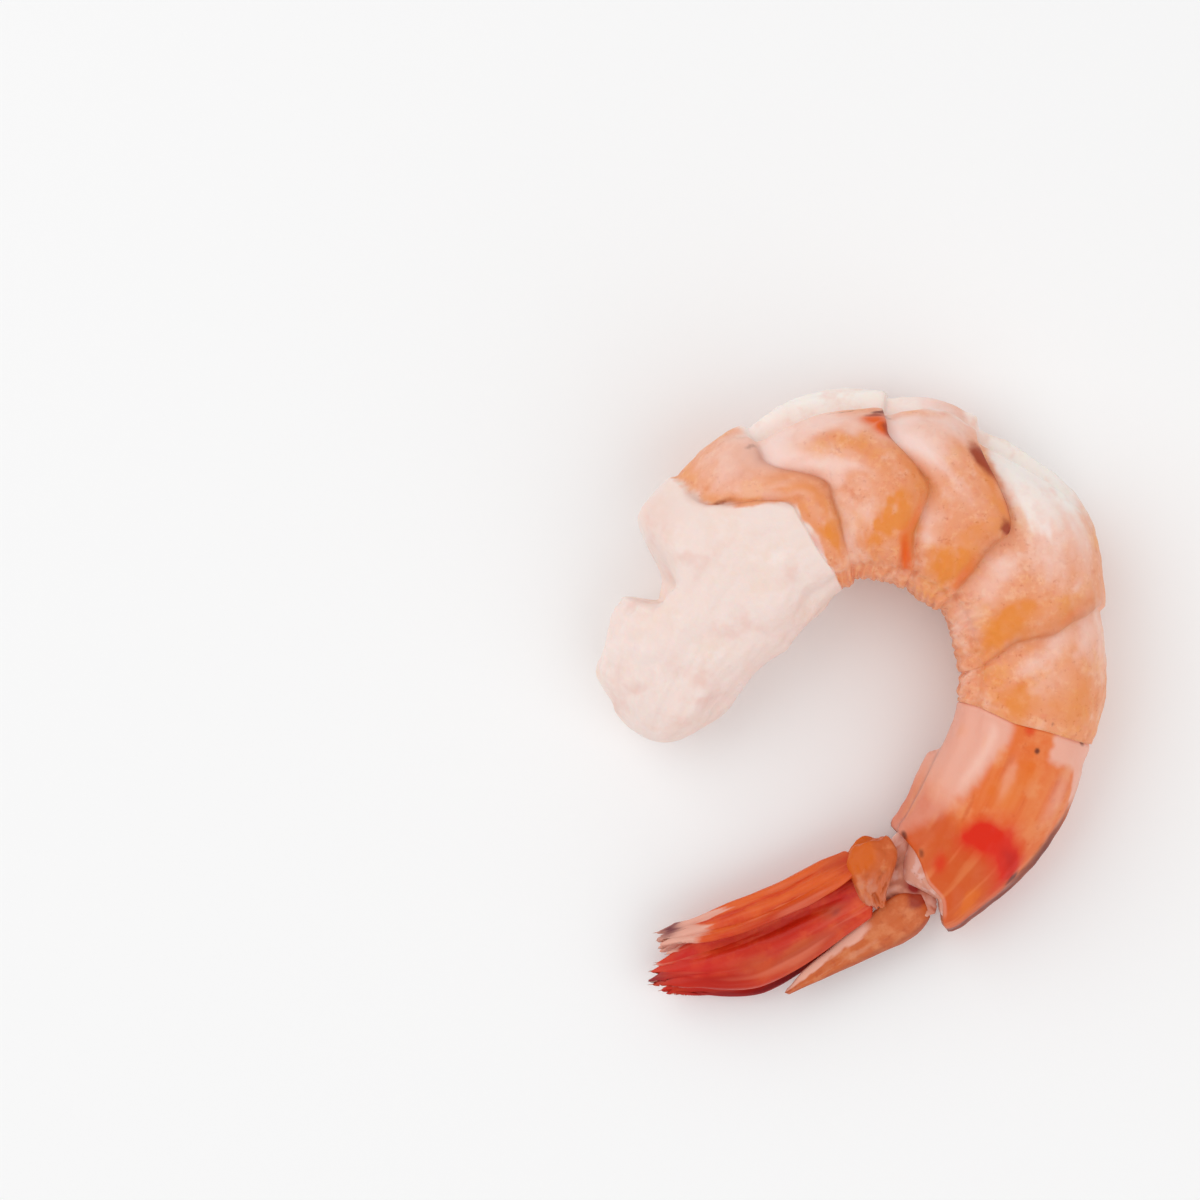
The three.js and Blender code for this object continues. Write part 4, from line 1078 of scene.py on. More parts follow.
def blade_faces(rows, columns):
    """Quads of the upper face, and of a lower one that shares the upper one's border."""
    upper = np.arange(rows * columns).reshape(rows, columns)
    lower = upper.copy()
    inner = np.arange((rows - 2) * (columns - 2)).reshape(rows - 2, columns - 2)
    lower[1:-1, 1:-1] = rows * columns + inner

    def quads(grid):
        """One face for each cell of a grid of corner numbers."""
        cells = [grid[:-1, :-1], grid[1:, :-1], grid[1:, 1:], grid[:-1, 1:]]
        return np.stack(cells, axis=-1).reshape(-1, 4)

    return np.concatenate([quads(upper), quads(lower)[:, ::-1]])


print("thickness in the middle of a blade:", 2 * round(float(blade_half_thickness(0.5, 0.0)), 2), "mm")

# %% [markdown]
# Each blade is red between its ridges and orange to pinkish white on top of them; some of
# the pinkish white is painted highlight. Where the next blade lies over it, it is darkened by
# painted shade, and its thin end has lost its colour. The outer blades are more orange than
# the inner ones.

# %% Colours of the blades
BLADE_LOOKS = {
    "left_exopod": dict(orange=0.8, end_from=0.66, seed=1.0, end_slant=1.8),
    "left_endopod": dict(orange=0.15, end_from=0.96, seed=2.0, end_slant=0.5),
    "right_endopod": dict(orange=0.1, end_from=0.97, seed=3.0, end_slant=0.5),
    "right_exopod": dict(orange=0.6, end_from=0.8, seed=4.0, end_slant=1.0),
}
# Patches of colour in the blades' own coordinates: t, q, their half widths and strength.
BLADE_SPOTS = {
    # Deep red: partly the blades' own colour, partly painted shade where the next blade lies over them.
    "deep": {
        "left_exopod": [(0.03, 0.2, 0.05, 0.9, 0.7), (0.42, 0.95, 0.28, 0.35, 0.9)],
        "left_endopod": [
            (0.38, -0.25, 0.24, 0.35, 0.6), (0.92, 0.34, 0.12, 0.18, 1.3),
            (0.74, 0.74, 0.2, 0.2, 1.2), (0.5, 0.1, 0.12, 0.25, 0.5),
            (0.3, -0.85, 0.4, 0.2, 0.9),
        ],
        "right_endopod": [(0.6, 0.95, 0.5, 0.2, 1.0), (0.3, 0.5, 0.3, 0.6, 0.8)],
        "right_exopod": [(0.3, 0.5, 0.3, 0.6, 0.7)],
    },
    "crimson": {
        "left_endopod": [
            (0.78, 0.2, 0.2, 0.4, 0.9), (0.85, -0.45, 0.1, 0.3, 1.0),
            (0.08, -0.4, 0.06, 0.35, 0.8),
        ],
        "right_endopod": [(0.8, 0.4, 0.25, 0.7, 1.0)],
    },
    "brown": {
        "left_exopod": [(0.05, -0.5, 0.08, 0.6, 0.6), (0.3, -1.0, 0.5, 0.16, 0.6)],
        "left_endopod": [
            (0.34, 0.65, 0.26, 0.35, 1.0), (0.13, -0.1, 0.05, 0.25, 0.9),
            (0.56, 0.45, 0.12, 0.3, 0.7),
        ],
    },
    "dark": {
        "left_exopod": [(0.97, -0.5, 0.06, 0.6, 1.2)],
        "left_endopod": [(0.97, 0.4, 0.04, 0.3, 0.9), (0.12, 0.0, 0.015, 0.06, 0.5)],
        "right_endopod": [(0.5, 1.0, 0.4, 0.12, 0.8)],
    },
}
# Places where the salmon streaks are strengthened as painted highlight: t, q, half widths and strength.
BLADE_HIGHLIGHTS = [(0.32, 0.7, 0.3, 0.35, 0.5), (0.68, 0.3, 0.16, 0.3, 0.4)]


def blade_masks(name, t, q):
    """Masks of one blade; round grain bends their borders, and long streaks make lines."""
    look = BLADE_LOOKS[name]
    seed = look["seed"]
    grain = noise(3.0 * t, 3 * q, seed) + 0.5 * noise(9 * t, 6 * q, seed + 3)
    streaks = noise(3.0 * t, 6 * q, seed + 6) + 0.5 * noise(6 * t, 13 * q, seed + 8)
    past_end = t - look["end_from"] - 0.06 * look["end_slant"] * q + 0.07 * (grain + streaks)
    masks = {
        "orange": np.clip(look["orange"] + 0.4 * grain, 0, 1),
        "edge": np.clip(ease(0.3, 1.0, streaks) * (0.3 + bells(BLADE_HIGHLIGHTS, t, q)), 0, 1),
        "pale": ease(0.0, 0.16, past_end),
    }
    for key, rows in BLADE_SPOTS.items():
        masks[key] = bells(rows.get(name, []), t + 0.03 * grain, q + 0.12 * grain)
    return {key: two_sided(values, values) for key, values in masks.items()}


print("masks of a blade:", ", ".join(blade_masks("left_exopod", *np.ones((2, 3, 3)))))

# %% [markdown]
# The grid of a blade is closer at its rounded edges, where the faces turn into each other.

# %% Build the blades
BLADE_ROWS, BLADE_COLUMNS = 150, 90


def crowded(count, share):
    """Numbers from -1 to 1 that crowd towards both ends by a share of a sine curve."""
    even = np.linspace(-1.0, 1.0, count)
    return np.sin(even * np.pi / 2) * share + even * (1 - share)


blade_rows = (crowded(BLADE_ROWS, 0.5) + 1) / 2
t, q = np.meshgrid(blade_rows, crowded(BLADE_COLUMNS, 0.72), indexing="ij")
faces = blade_faces(*t.shape)
for name, blade in BLADES.items():
    leaf = make_piece(name + "_leaf", blade_points(blade, t, q), faces, blade_masks(name, t, q))
    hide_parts(name)

# %% [markdown]
# ## The fringe
#
# The end of every blade carries a fringe of stiff hairs, most of them broken by cooking and
# packing. Each hair is a slim cone with four sides that starts inside the blade's end and
# points along it. All hairs of the fan are one piece, and their lengths are drawn at random
# with a fixed seed.

# %% Build the fringe
FRINGE = dict(hairs=26, reach=0.94, at=0.985, behind=0.95, root=0.13, length=0.9, sunk=0.35)
FRINGE_SPREAD, FRINGE_SHORTEST, FRINGE_SEED = 0.12, 0.25, 11


def fringe_hairs(blade, rng):
    """Cones whose axis follows the blade's end; every blade gets the same number."""
    q = np.sort(rng.uniform(-FRINGE["reach"], FRINGE["reach"], FRINGE["hairs"]))
    base = blade_middle(blade, np.full(q.shape, FRINGE["at"]), q)
    ahead = base - blade_middle(blade, np.full(q.shape, FRINGE["behind"]), q)
    ahead = ahead / np.linalg.norm(ahead, axis=-1, keepdims=True)
    ahead = ahead + rng.normal(0.0, FRINGE_SPREAD, ahead.shape)
    length = FRINGE["length"] * rng.uniform(FRINGE_SHORTEST, 1.0, q.shape) ** 1.5
    root = base - FRINGE["sunk"] * ahead
    tip = base + length[:, None] * ahead
    side = np.cross(ahead, [0.0, 0.0, 1.0])
    side = side / np.linalg.norm(side, axis=-1, keepdims=True) * FRINGE["root"]
    high = np.array([0.0, 0.0, FRINGE["root"] * 0.8])
    rim = np.stack([root + side, root + high, root - side, root - high], axis=1)
    return np.concatenate([rim, tip[:, None]], axis=1)


rng = np.random.default_rng(FRINGE_SEED)
hairs = np.concatenate([fringe_hairs(blade, rng) for blade in BLADES.values()])
hair_faces = np.array([[0, 1, 4, 4], [1, 2, 4, 4], [2, 3, 4, 4], [3, 0, 4, 4], [3, 2, 1, 0]])
offsets = 5 * np.arange(len(hairs))[:, None, None]
fringe = make_piece("fan_fringe", hairs.reshape(-1, 3), (hair_faces + offsets).reshape(-1, 4))

# %% [markdown]
# ## The telson
#
# The telson is the stiff spike in the middle of a tail fan: a slim wedge with a low ridge,
# here rolled a little to face up. It is a tube of ovals whose width tapers to the tip. It is
# orange-pink, with a pinkish-white painted highlight along the edge on the side towards the
# blades.

# %% Build the telson
TELSON = dict(
    start_at=-0.65, end_at=15.4, across=4.2, across_end=7.1, base=4.6, taper_from=0.22,
    tip=0.6, thick=1.9, lift=-0.1, roll=24.0, margin=0.45)
TELSON_ROWS, TELSON_AROUND = 110, 96
TELSON_RED = [(0.03, -0.7, 0.07, 0.5, 1.2)]


def telson_rings(t, turn):
    """Ovals along the wedge, blunt at the base and tapering; a ridge and furrows on top."""
    side, up = np.cos(turn), np.sin(turn)
    along = TELSON["start_at"] + (TELSON["end_at"] - TELSON["start_at"]) * t
    across = TELSON["across"] + (TELSON["across_end"] - TELSON["across"]) * t
    blunt = np.sqrt(1 - (1 - np.minimum(1.0, (t + 0.04) * 5)) ** 2)
    taper = np.minimum(1.0, (1 - t) / (1 - TELSON["taper_from"]))
    half = (TELSON["tip"] + (TELSON["base"] - TELSON["tip"]) * taper) / 2 * blunt
    thick = TELSON["thick"] / 2 * (1 - 0.6 * t) * blunt
    furrow = 1 - 0.12 * bump(side, -0.35, 0.12) + 0.1 * bump(side, 0.05, 0.1)
    furrow = furrow + 0.05 * noise(12 * t, 3 * side, 3 * up)
    wide = half * side * (1 + 0.03 * noise(9 * t, np.sign(side), 2.0))
    wide = wide - TELSON["margin"] * ease(-0.5, -1.0, side) * between(0.02, 0.15, 0.85, 1.0, t)
    high = thick * up * np.where(up > 0, furrow, 0.8)
    roll = math.radians(TELSON["roll"])
    return fan_points(
        along,
        across + wide * math.cos(roll) + high * math.sin(roll),
        TELSON["lift"] - wide * math.sin(roll) + high * math.cos(roll),
    )


telson_turns = np.linspace(0, 2 * np.pi, TELSON_AROUND, endpoint=False)
t, turn = np.meshgrid(np.linspace(0, 1, TELSON_ROWS), telson_turns, indexing="ij")
side, up = np.cos(turn), np.sin(turn)
grain = noise(10 * t, 3 * side, 3 * up) + 0.6 * noise(30 * t, 6 * side, 6 * up)
telson_masks = {
    # Painted highlight along the edge towards the blades.
    "edge": ease(-0.45, -0.8, side + 0.12 * grain) * ease(0.25, 0.5, t),
    "pale": np.clip(0.35 + 0.6 * grain, 0, 1) * bump(side, 0.1, 0.35) * ease(0.15, 0.4, t),
    "red": bells(TELSON_RED, t, side) + 0.4 * ease(0.75, 1.0, t),
    "brown": ease(0.3, 0.95, side + 0.15 * grain),
}
base_tip = fan_points(TELSON["start_at"] - 0.25, TELSON["across"], TELSON["lift"])
end_tip = fan_points(TELSON["end_at"] + 0.35, TELSON["across_end"], TELSON["lift"])
telson = tube_piece("telson_wedge", telson_rings(t, turn), base_tip, end_tip, telson_masks)
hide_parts("telson")

# %% [markdown]
# ## The stubs of the fan
#
# Each pair of blades hangs on a short stub beside the rear of the shell. It is a cushion
# with a bulge of orange shell on its outer side and knobbly whitish skin on the inner side,
# where it was bent. Noise at two sizes makes the lumps and the knobs. A cushion is a ball
# whose "slope" runs from pole to pole and whose "turn" goes round the fan's axis.

# %% Build the stubs
STUB = dict(
    along=2.6, across=-0.9, height=1.95, slant=2.5, slant_from=-1.5, slant_to=3.0, fullness=0.45,
    half_length=2.5, half_width=3.05, half_height=1.5, lump=0.16, knob=0.1, growth=1.08)
STUB_GRID, POLE_SLOPES = (100, 120), (0.0, np.pi)
KNOB_REACH = (2.5, 3.0, 1.5)


def cushion_grid(rows, around):
    """Slope and turn of every corner of a ball's grid, without its two poles."""
    slopes = np.linspace(0, np.pi, rows + 2)[1:-1]
    turns = np.linspace(0, 2 * np.pi, around, endpoint=False)
    return np.meshgrid(slopes, turns, indexing="ij")


def stub_knobs(slope, turn):
    """Noise at two sizes, with the place on the cushion in millimetres."""
    full = np.abs(np.sin(slope)) ** STUB["fullness"]
    x = KNOB_REACH[0] * np.cos(slope)
    y, z = KNOB_REACH[1] * full * np.cos(turn), KNOB_REACH[2] * full * np.sin(turn)
    return noise(1.3 * x + 2, 1.3 * y, 1.3 * z) + 0.6 * noise(2.9 * x, 2.9 * y, 2.9 * z)


def stub_points(side, slope, turn):
    """Rounded cushion: sine of the slope to a small power makes full ends; noise adds lumps."""
    x = np.cos(slope)
    y, z = np.sin(slope) * np.cos(turn), np.sin(slope) * np.sin(turn)
    inner = ease(-0.35, 0.35, np.cos(turn))
    lump = 1 + STUB["lump"] * noise(4 + 2 * x, side * 5 + 2 * y, 2 * z)
    lump = lump + STUB["knob"] * (0.3 + inner) * stub_knobs(slope, turn)
    reach = np.abs(np.sin(slope)) ** STUB["fullness"] * lump * STUB["growth"]
    across = STUB["half_width"] * reach * np.cos(turn)
    slant = STUB["slant"] * ease(STUB["slant_from"], STUB["slant_to"], across) * (1 + x) / 2
    return fan_points(
        STUB["along"] - STUB["half_length"] * STUB["growth"] * x + slant,
        STUB["across"] + across,
        side * (STUB["height"] + STUB["half_height"] * reach * np.sin(turn)),
    )


slope, turn = cushion_grid(*STUB_GRID)
y = np.abs(np.sin(slope)) ** STUB["fullness"] * np.cos(turn)
knobs = stub_knobs(slope, turn)
stub_masks = {
    "pale": np.clip(ease(-0.1, 0.4, y + 0.2 * knobs) * (0.35 + 0.9 * knobs), 0, 1),
    # Painted shade in the hollows between the knobs.
    "dark": 0.6 * ease(0.1, 0.8, -knobs) * ease(-0.3, 0.3, y),
    "amber": ease(0.1, -0.5, y + 0.15 * knobs) * ease(0.6, -0.2, np.cos(slope)),
}
for name, side in (("left_protopod", 1), ("right_protopod", -1)):
    poles = [stub_points(side, np.float64(pole), 0.0) for pole in POLE_SLOPES]
    stub = tube_piece(name + "_cushion", stub_points(side, slope, turn), *poles, stub_masks)
    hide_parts(name)

# %% [markdown]
# ## The skin of the joint
#
# Between the shell, the stubs and the telson a real shrimp has soft folded skin. The solids
# leave small gaps there, so this piece is made here: a low cushion that bends round the
# shell's rear. Its ends are hidden in its neighbours, and noise folds its surface.

# %% Build the skin of the joint
JOINT = dict(
    along=1.1, across=1.0, height=-0.35, bend=0.1, half_length=2.3, half_width=4.3,
    half_height=1.2, fullness=0.6, lump=0.09, fold=0.035)
JOINT_GRID = (80, 140)
JOINT_RED = [(0.5, 0.25, 0.3, 0.2, 1.2)]


def joint_points(slope, turn):
    """Rounded cushion bent in the fan's plane; the bend grows with the square of the width."""
    x, full = np.cos(slope), np.abs(np.sin(slope)) ** JOINT["fullness"]
    y, z = full * np.cos(turn), full * np.sin(turn)
    lump = 1 + JOINT["lump"] * noise(2 * x + 9, 3 * y, 2 * z)
    lump = lump + JOINT["fold"] * noise(5 * x, 9 * y, 4 * z)
    across = JOINT["half_width"] * y * lump
    return fan_points(
        JOINT["along"] - JOINT["half_length"] * x * lump - JOINT["bend"] * across**2,
        JOINT["across"] + across,
        JOINT["height"] + JOINT["half_height"] * z * lump,
    )


slope, turn = cushion_grid(*JOINT_GRID)
x, y = np.cos(slope), np.abs(np.sin(slope)) ** JOINT["fullness"] * np.cos(turn)
folds = noise(3 * x, 8 * y, 3.0) + 0.3 * noise(9 * x, 16 * y, 5.0)
joint_masks = {
    "pale": ease(-0.2, 0.9, folds),
    # Painted shade between the folds.
    "brown": 0.7 * ease(0.1, 0.9, -folds),
    "red": bells(JOINT_RED, x, y),
}
poles = [joint_points(np.float64(pole), 0.0) for pole in POLE_SLOPES]
joint = tube_piece("joint_skin_folds", joint_points(slope, turn), *poles, joint_masks)

# %% [markdown]
# ## Effects that several finishes share
#
# A finish is a tree of small nodes. `add_node` makes one node and fills in what it's given,
# so that a whole effect fits on a few lines.

# %% Node helpers
def linear(colour):
    """Colour seen on a screen, 0 to 255, as linear values; another node's output is kept."""
    if isinstance(colour, bpy.types.NodeSocket):
        return colour
    seen = np.array(colour) / 255.0
    low, high = seen / 12.92, ((seen + 0.055) / 1.055) ** 2.4
    return (*np.where(seen <= 0.04045, low, high).tolist(), 1.0)


def add_node(tree, kind, inputs=None, **settings):
    """New node with its settings; an input is a plain value or another node's output."""
    node = tree.nodes.new(kind)
    for key, value in settings.items():
        setattr(node, key, value)
    for key, value in (inputs or {}).items():
        if isinstance(value, bpy.types.NodeSocket):
            tree.links.new(value, node.inputs[key])
        else:
            node.inputs[key].default_value = value
    return node


def math_node(tree, operation, a, b, clamp=False):
    """Output of one sum or product of two sockets or numbers."""
    inputs = {0: a, 1: b}
    return add_node(tree, "ShaderNodeMath", inputs, operation=operation, use_clamp=clamp).outputs[0]


def object_noise(tree, scale, detail=3.0):
    """Noise on the object's own coordinates, which are metres here."""
    place = add_node(tree, "ShaderNodeTexCoord").outputs["Object"]
    inputs = {"Vector": place, "Scale": scale, "Detail": detail, "Roughness": 0.6}
    return add_node(tree, "ShaderNodeTexNoise", inputs).outputs["Fac"]


def smooth_range(tree, value, low, high):
    """Smooth climb from 0 to 1 while the value goes from low to high."""
    inputs = {"Value": value, "From Min": low, "From Max": high}
    kind = "ShaderNodeMapRange"
    return add_node(tree, kind, inputs, interpolation_type="SMOOTHSTEP").outputs["Result"]


print("full red as linear values:", linear((255, 0, 0)))

# %% [markdown]
# Three effects come back in every finish, so each is a node group, built once. "Mottle" is
# cloudy noise squeezed between two values. "Torn mask" frays the soft border of a mask from
# the mesh. "Wet grain" is the fine unevenness of a wet skin, as a normal.

# %% Shared groups
TORN_LOW, TORN_HIGH = 0.12, 0.88
GRAIN_DEPTH = 0.0002


def new_group(name, inputs, output, output_type="NodeSocketFloat"):
    """Empty shader node group with named number inputs and one output."""
    tree = bpy.data.node_groups.new(name, "ShaderNodeTree")
    for key, value in inputs.items():
        socket = tree.interface.new_socket(key, in_out="INPUT", socket_type="NodeSocketFloat")
        socket.default_value = value
    tree.interface.new_socket(output, in_out="OUTPUT", socket_type=output_type)
    given, result = tree.nodes.new("NodeGroupInput"), tree.nodes.new("NodeGroupOutput")
    return tree, given.outputs, result.inputs[output]


mottle, given, result = new_group("Mottle", {"Scale": 300.0, "Low": 0.4, "High": 0.6}, "Mask")
cloud = object_noise(mottle, given["Scale"])
mottle.links.new(smooth_range(mottle, cloud, given["Low"], given["High"]), result)

torn, given, result = new_group("Torn mask", {"Mask": 0.0, "Scale": 900.0, "Fray": 0.8}, "Mask")
centred = math_node(torn, "SUBTRACT", object_noise(torn, given["Scale"]), 0.5)
shift = math_node(torn, "MULTIPLY", centred, given["Fray"])
frayed = math_node(torn, "ADD", given["Mask"], shift)
torn.links.new(smooth_range(torn, frayed, TORN_LOW, TORN_HIGH), result)

grain_inputs = {"Scale": 1200.0, "Strength": 0.3}
grain, given, result = new_group("Wet grain", grain_inputs, "Normal", "NodeSocketVector")
cloud = object_noise(grain, given["Scale"], detail=4.0)
bump_inputs = {"Strength": given["Strength"], "Distance": GRAIN_DEPTH, "Height": cloud}
grain.links.new(add_node(grain, "ShaderNodeBump", bump_inputs).outputs["Normal"], result)
print("shared groups:", ", ".join(group.name for group in bpy.data.node_groups))

# %% [markdown]
# ## Painting in layers
#
# Every finish is painted like a ceramic: a base colour, then one layer over the other, each
# with its colour and the mask that says where it goes. A mask is one from the mesh, plain or
# frayed, or a cloud; a strength under 1 thins it. The colours were matched to the
# photograph.

# %% Masks and layers
# A mix node has sockets for every kind of data; these are the ones for colours.
MIX_FACTOR, MIX_BELOW, MIX_ABOVE, MIX_RESULT = 0, 6, 7, 2


def times(tree, a, b):
    """Product of two masks; a mask times 1 is left as it is."""
    return a if b == 1.0 else math_node(tree, "MULTIPLY", a, b, clamp=True)


def from_group(tree, group, output, **values):
    """Output of a shared group placed in a material with its own values."""
    return add_node(tree, "ShaderNodeGroup", values, node_tree=group).outputs[output]


def mesh_mask(tree, name, strength=1.0):
    """Mask kept in the mesh under this name."""
    mask = add_node(tree, "ShaderNodeAttribute", attribute_name=name).outputs["Fac"]
    return times(tree, mask, strength)


def frayed_mask(tree, name, scale, fray, strength=1.0):
    """Mask of the mesh with its border frayed."""
    mask = from_group(tree, torn, "Mask", Mask=mesh_mask(tree, name), Scale=scale, Fray=fray)
    return times(tree, mask, strength)


def cloudy(tree, scale, low, high, strength=1.0):
    """Cloudy patches: a finer scale makes smaller ones, and low and high set their share."""
    return times(tree, from_group(tree, mottle, "Mask", Scale=scale, Low=low, High=high), strength)


def painted(tree, base, layers):
    """Colour after all layers: each one covers what lies below it by its mask."""
    colour = linear(base)
    for paint, mask in layers:
        sockets = {MIX_FACTOR: mask, MIX_BELOW: colour, MIX_ABOVE: linear(paint)}
        colour = add_node(tree, "ShaderNodeMix", sockets, data_type="RGBA").outputs[MIX_RESULT]
    return colour


print("effects to paint with:", mottle.name, "and", torn.name)

# %% [markdown]
# The gloss comes from a thin clear coat, which stands for the film of water. Light that goes
# into the flesh comes out some way further on, the red part of it furthest, which is what
# makes flesh look soft: subsurface scattering does that.

# %% Wet material
GLOSS_CLOUDS = (500.0, 0.3, 0.7)
COAT_ROUGHNESS = 0.16
SCATTER_RADIUS = (1.0, 0.5, 0.35)


def wet_material(name, paint, roughness, coat, grain_values, soft, depth, shine):
    """Shader with layered paint, clouds of two roughnesses, coat, grain and scattering."""
    material = bpy.data.materials.new(name)
    material.use_nodes = True
    tree = material.node_tree
    shader = tree.nodes["Principled BSDF"]
    range_inputs = {"Value": cloudy(tree, *GLOSS_CLOUDS), "To Min": roughness[0], "To Max": roughness[1]}
    varied = add_node(tree, "ShaderNodeMapRange", range_inputs)
    scale, strength = grain_values
    linked = {
        "Base Color": paint(tree),
        "Roughness": varied.outputs["Result"],
        "Normal": from_group(tree, grain, "Normal", Scale=scale, Strength=strength),
    }
    for key, output in linked.items():
        tree.links.new(output, shader.inputs[key])
    plain = {
        "Specular IOR Level": shine,
        "Coat Weight": coat,
        "Coat Roughness": COAT_ROUGHNESS,
        "Subsurface Weight": soft,
        "Subsurface Radius": SCATTER_RADIUS,
        "Subsurface Scale": depth,
    }
    for key, value in plain.items():
        shader.inputs[key].default_value = value
    return material


print("roughness of the coat:", COAT_ROUGHNESS)

# %% [markdown]
# ## Cooked meat
#
# White flesh with a faint warm cast, and over it the salmon skin of the rings, mottled
# paler and deeper. The paint of the cut back is whiter again. Over them go the patches of
# the tables above.

# %% Finish of the meat
def meat_paint(tree):
    """White flesh, salmon skin, cut back, pale and amber patches, painted edge shade, lines, red, rust
    and dark.
    """
    flesh = painted(tree, (243, 222, 214), [
        ((242, 217, 204), cloudy(tree, 160.0, 0.45, 0.7)),
        ((238, 206, 196), cloudy(tree, 240.0, 0.52, 0.75)),
        ((246, 228, 222), cloudy(tree, 330.0, 0.45, 0.8)),
    ])
    skin_tone = painted(tree, (236, 157, 115), [
        ((243, 188, 162), cloudy(tree, 330.0, 0.5, 0.74)),
        ((238, 160, 98), cloudy(tree, 260.0, 0.52, 0.7)),
        ((226, 136, 88), cloudy(tree, 620.0, 0.53, 0.78)),
        ((247, 187, 146), cloudy(tree, 1050.0, 0.52, 0.68, 0.5)),
        ((230, 138, 108), cloudy(tree, 1400.0, 0.55, 0.7, 0.4)),
        ((210, 112, 66), cloudy(tree, 1900.0, 0.58, 0.76, 0.7)),
    ])
    cut_tone = painted(tree, (253, 241, 234), [
        ((247, 220, 210), cloudy(tree, 420.0, 0.45, 0.75)),
    ])
    skin_mask = frayed_mask(tree, "skin", 700.0, 0.7)
    amber_mask = times(tree, mesh_mask(tree, "amber"), skin_mask)
    return painted(tree, flesh, [
        (skin_tone, skin_mask),
        (cut_tone, mesh_mask(tree, "bare")),
        ((250, 216, 206), mesh_mask(tree, "pale", 0.8)),
        ((233, 137, 38), times(tree, amber_mask, 0.85)),
        # Painted shade just before each ring edge.
        ((216, 126, 64), mesh_mask(tree, "shade", 0.7)),
        ((180, 84, 30), mesh_mask(tree, "line", 0.85)),
        ((230, 94, 10), mesh_mask(tree, "red")),
        ((156, 52, 22), frayed_mask(tree, "rust", 1300.0, 0.4, 0.9)),
        ((116, 32, 14), frayed_mask(tree, "dark", 1600.0, 0.5, 0.85)),
    ])


meat_finish = wet_material(
    "cooked meat", meat_paint, (0.38, 0.55), 0.08, (1500.0, 0.3), soft=0.35, depth=0.0012, shine=0.3)
meat.data.materials.append(meat_finish)
print("finish:", meat_finish.name)

# %% [markdown]
# ## Cooked shell
#
# Shell is smoother than meat and thin enough to glow, so it has a stronger coat and less
# depth of scattering. The masks differ, but the way of painting is the same.

# %% Finish of the shell
def shell_paint(tree):
    """Orange shell, deep, amber and pale parts, lines, reds, painted highlight, dark back with painted
    shade, specks and painted rim shadow, rear skin.
    """
    base = painted(tree, (230, 114, 52), [
        ((234, 136, 80), cloudy(tree, 420.0, 0.42, 0.68)),
        ((214, 92, 40), cloudy(tree, 900.0, 0.58, 0.78, 0.6)),
    ])
    rear_skin = painted(tree, (226, 162, 140), [
        ((236, 190, 178), cloudy(tree, 700.0, 0.45, 0.6)),
        ((164, 92, 60), cloudy(tree, 1100.0, 0.6, 0.72)),
    ])
    return painted(tree, base, [
        ((208, 80, 22), frayed_mask(tree, "deep", 400.0, 0.5, 0.8)),
        ((230, 112, 26), frayed_mask(tree, "amber", 400.0, 0.4, 0.75)),
        ((238, 176, 156), frayed_mask(tree, "pale", 400.0, 0.25, 0.92)),
        ((240, 156, 96), mesh_mask(tree, "lines")),
        ((222, 36, 0), mesh_mask(tree, "red")),
        ((192, 16, 0), mesh_mask(tree, "crimson", 0.7)),
        # Painted highlight: the light streak and spots on the pale side of the shell.
        ((250, 208, 192), mesh_mask(tree, "painted_highlight", 0.7)),
        # Dark back band, partly painted shade.
        ((112, 34, 18), mesh_mask(tree, "back")),
        # Dark specks, and painted shadow along the rear rim on the belly side.
        ((96, 32, 16), frayed_mask(tree, "dark", 1300.0, 0.5, 0.9)),
        (rear_skin, mesh_mask(tree, "skin")),
    ])


shell_finish = wet_material(
    "cooked shell", shell_paint, (0.34, 0.5), 0.12, (900.0, 0.2), soft=0.12, depth=0.0008, shine=0.2)
shell.data.materials.append(shell_finish)
print("finish:", shell_finish.name)

# %% [markdown]
# ## Cooked fan
#
# The blades are the reddest part. All four share one finish, because their masks already say
# what differs.

# %% Finish of the blades
def fan_paint(tree):
    """Red blades, orange ridges, crimson, deep red partly painted shade, brown parts, pale lines partly
    painted highlight, and pale ends.
    """
    base = painted(tree, (208, 46, 22), [
        ((222, 74, 36), cloudy(tree, 500.0, 0.42, 0.68)),
    ])
    return painted(tree, base, [
        ((226, 98, 38), frayed_mask(tree, "orange", 500.0, 0.6)),
        ((204, 36, 30), mesh_mask(tree, "crimson", 0.85)),
        # Deep red, partly painted shade under the overlapping blades.
        ((184, 26, 8), mesh_mask(tree, "deep", 0.85)),
        ((190, 80, 44), mesh_mask(tree, "brown", 0.8)),
        # Salmon streaks, partly painted highlight.
        ((228, 122, 92), mesh_mask(tree, "edge", 0.75)),
        ((232, 174, 156), frayed_mask(tree, "pale", 900.0, 0.7, 0.9)),
        ((116, 50, 58), mesh_mask(tree, "dark", 0.8)),
    ])


fan_finish = wet_material(
    "cooked blade", fan_paint, (0.32, 0.48), 0.12, (1400.0, 0.2), soft=0.08, depth=0.0006, shine=0.2)
for name in BLADES:
    bpy.data.objects[name + "_leaf"].data.materials.append(fan_finish)
print("finish:", fan_finish.name)

# %% [markdown]
# The small pieces between shell and blades are of the same wet stuff, and differ in their
# paint and a little in their gloss.

